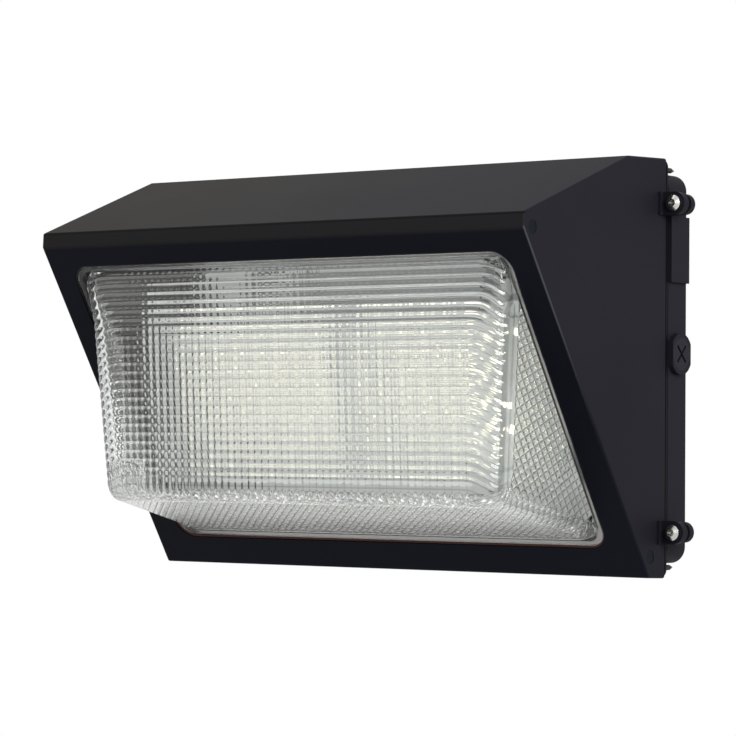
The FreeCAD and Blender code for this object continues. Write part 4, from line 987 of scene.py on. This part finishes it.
# ------------------------------------------------------------------ studio
@dataclass(frozen=True)
class Camera:
    """The photograph's viewpoint, in millimetres and degrees."""

    azimuth: float = 35.563
    elevation: float = -1.435
    roll: float = 0.38
    shift_right: float = -41.704
    shift_up: float = 1.986
    distance: float = 1881.19
    focal: float = 3000.0
    frame: float = 736.0

    def build(self) -> bpy.types.Object:
        """Adds the camera and makes it the scene's own."""
        turn, rise, roll = (math.radians(one) for one in
                            (self.azimuth, self.elevation, self.roll))
        back = Vector((math.sin(turn) * math.cos(rise), -math.cos(turn) * math.cos(rise),
                       math.sin(rise)))
        right = Vector((math.cos(turn), math.sin(turn), 0.0))
        up = back.cross(right)
        place = back * self.distance + right * self.shift_right + up * self.shift_up
        across = right * math.cos(roll) + up * math.sin(roll)
        upward = up * math.cos(roll) - right * math.sin(roll)
        lens = bpy.data.cameras.new("camera")
        lens.sensor_width = 36.0
        lens.lens = self.focal * 36.0 / self.frame
        lens.clip_end = 60.0
        made = bpy.data.objects.new("camera", lens)
        turned = Matrix((across, upward, back)).transposed().to_4x4()
        made.matrix_world = Matrix.Translation(place * MM) @ turned
        bpy.context.scene.collection.objects.link(made)
        bpy.context.scene.camera = made
        return made


@dataclass(frozen=True)
class Lamp:
    """One soft rectangular lamp that looks at the middle of the light."""

    name: str
    place: tuple[float, float, float]
    size: float
    power: float
    colour: Colour = (1.0, 1.0, 1.0)

    def build(self) -> None:
        """Adds the lamp."""
        data = bpy.data.lights.new(self.name, "AREA")
        data.shape = "SQUARE"
        data.size = self.size
        data.energy = self.power
        data.color = self.colour
        made = bpy.data.objects.new(self.name, data)
        aim = Vector((0.0, -0.08, 0.0)) - Vector(self.place)
        made.rotation_euler = aim.to_track_quat("-Z", "Y").to_euler()
        made.location = self.place
        bpy.context.scene.collection.objects.link(made)


@dataclass(frozen=True)
class Studio:
    """A plain pale studio: floor, white surroundings and soft lamps."""

    floor_height: float = -0.9
    surround: float = 0.32

    def build(self) -> None:
        """Adds the floor, the world and the lamps."""
        self._world()
        self._floor()
        for lamp in (
            Lamp("key", (2.3, -1.0, 0.8), 1.4, 78.0),
            Lamp("fill", (-1.9, -1.4, 1.1), 1.6, 14.0, (1.0, 0.95, 0.90)),
            Lamp("top", (-0.5, -0.3, 1.05), 0.7, 2.1, (1.0, 0.93, 0.84)),
        ):
            lamp.build()
        bpy.context.scene.view_settings.view_transform = "Standard"

    def _world(self) -> None:
        """Surroundings that are white to the eye and soft as light."""
        world = bpy.data.worlds.new("surroundings")
        world.use_nodes = True
        graph = Graph(world.node_tree)
        graph.tree.nodes.clear()
        light = graph.node("ShaderNodeBackground", None,
                           {"Color": (1.0, 1.0, 1.0), "Strength": self.surround})
        white = graph.node("ShaderNodeBackground", None,
                           {"Color": (1.0, 1.0, 1.0), "Strength": 1.0})
        mixed = graph.node("ShaderNodeMixShader", None, {0: graph.eye(), 1: light, 2: white})
        graph.node("ShaderNodeOutputWorld", None, {"Surface": mixed})
        bpy.context.scene.world = world

    def _floor(self) -> None:
        """A pale floor well below the light, white to the eye."""
        reach = 6.0
        points = np.array([(-reach, -reach, self.floor_height), (reach, -reach, self.floor_height),
                           (reach, reach, self.floor_height), (-reach, reach, self.floor_height)])
        made = mesh_object("floor", points, [(0, 1, 2, 3)], smooth=False)
        shader = Shader("floor_white")
        paint = shader.node("ShaderNodeBsdfPrincipled", None,
                            {"Base Color": (0.8, 0.8, 0.8), "Roughness": 0.9})
        white = shader.node("ShaderNodeEmission", None,
                            {"Color": (1.0, 1.0, 1.0), "Strength": 1.0})
        mixed = shader.node("ShaderNodeMixShader", None, {0: shader.eye(), 1: paint, 2: white})
        shader.node("ShaderNodeOutputMaterial", None, {"Surface": mixed})
        made.data.materials.append(shader.material)


def corners(box: tuple) -> list[list[float]]:
    """A box as plain lists of numbers."""
    return [[float(part) for part in corner] for corner in box]


def main() -> None:
    """Builds the looks in order and reports each piece."""
    logging.basicConfig(level=logging.INFO, format="%(name)s: %(message)s")
    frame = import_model()
    Camera().build()
    Studio().build()
    glass = PressedGlass().make()
    band = PressedGlass("rim_glass", (0.62, 0.61, 0.60), roughness=0.2).make()
    lens = Lens(SlopeFrame()).build(glass, band)
    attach(lens, "door")
    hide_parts("glass_refractor")
    LOG.info("ribbed lens: %d faces", len(lens.data.polygons))
    Casework(frame["record"], frame["nodes"]).dress({"glass_refractor"})


if __name__ == "__main__":
    main()
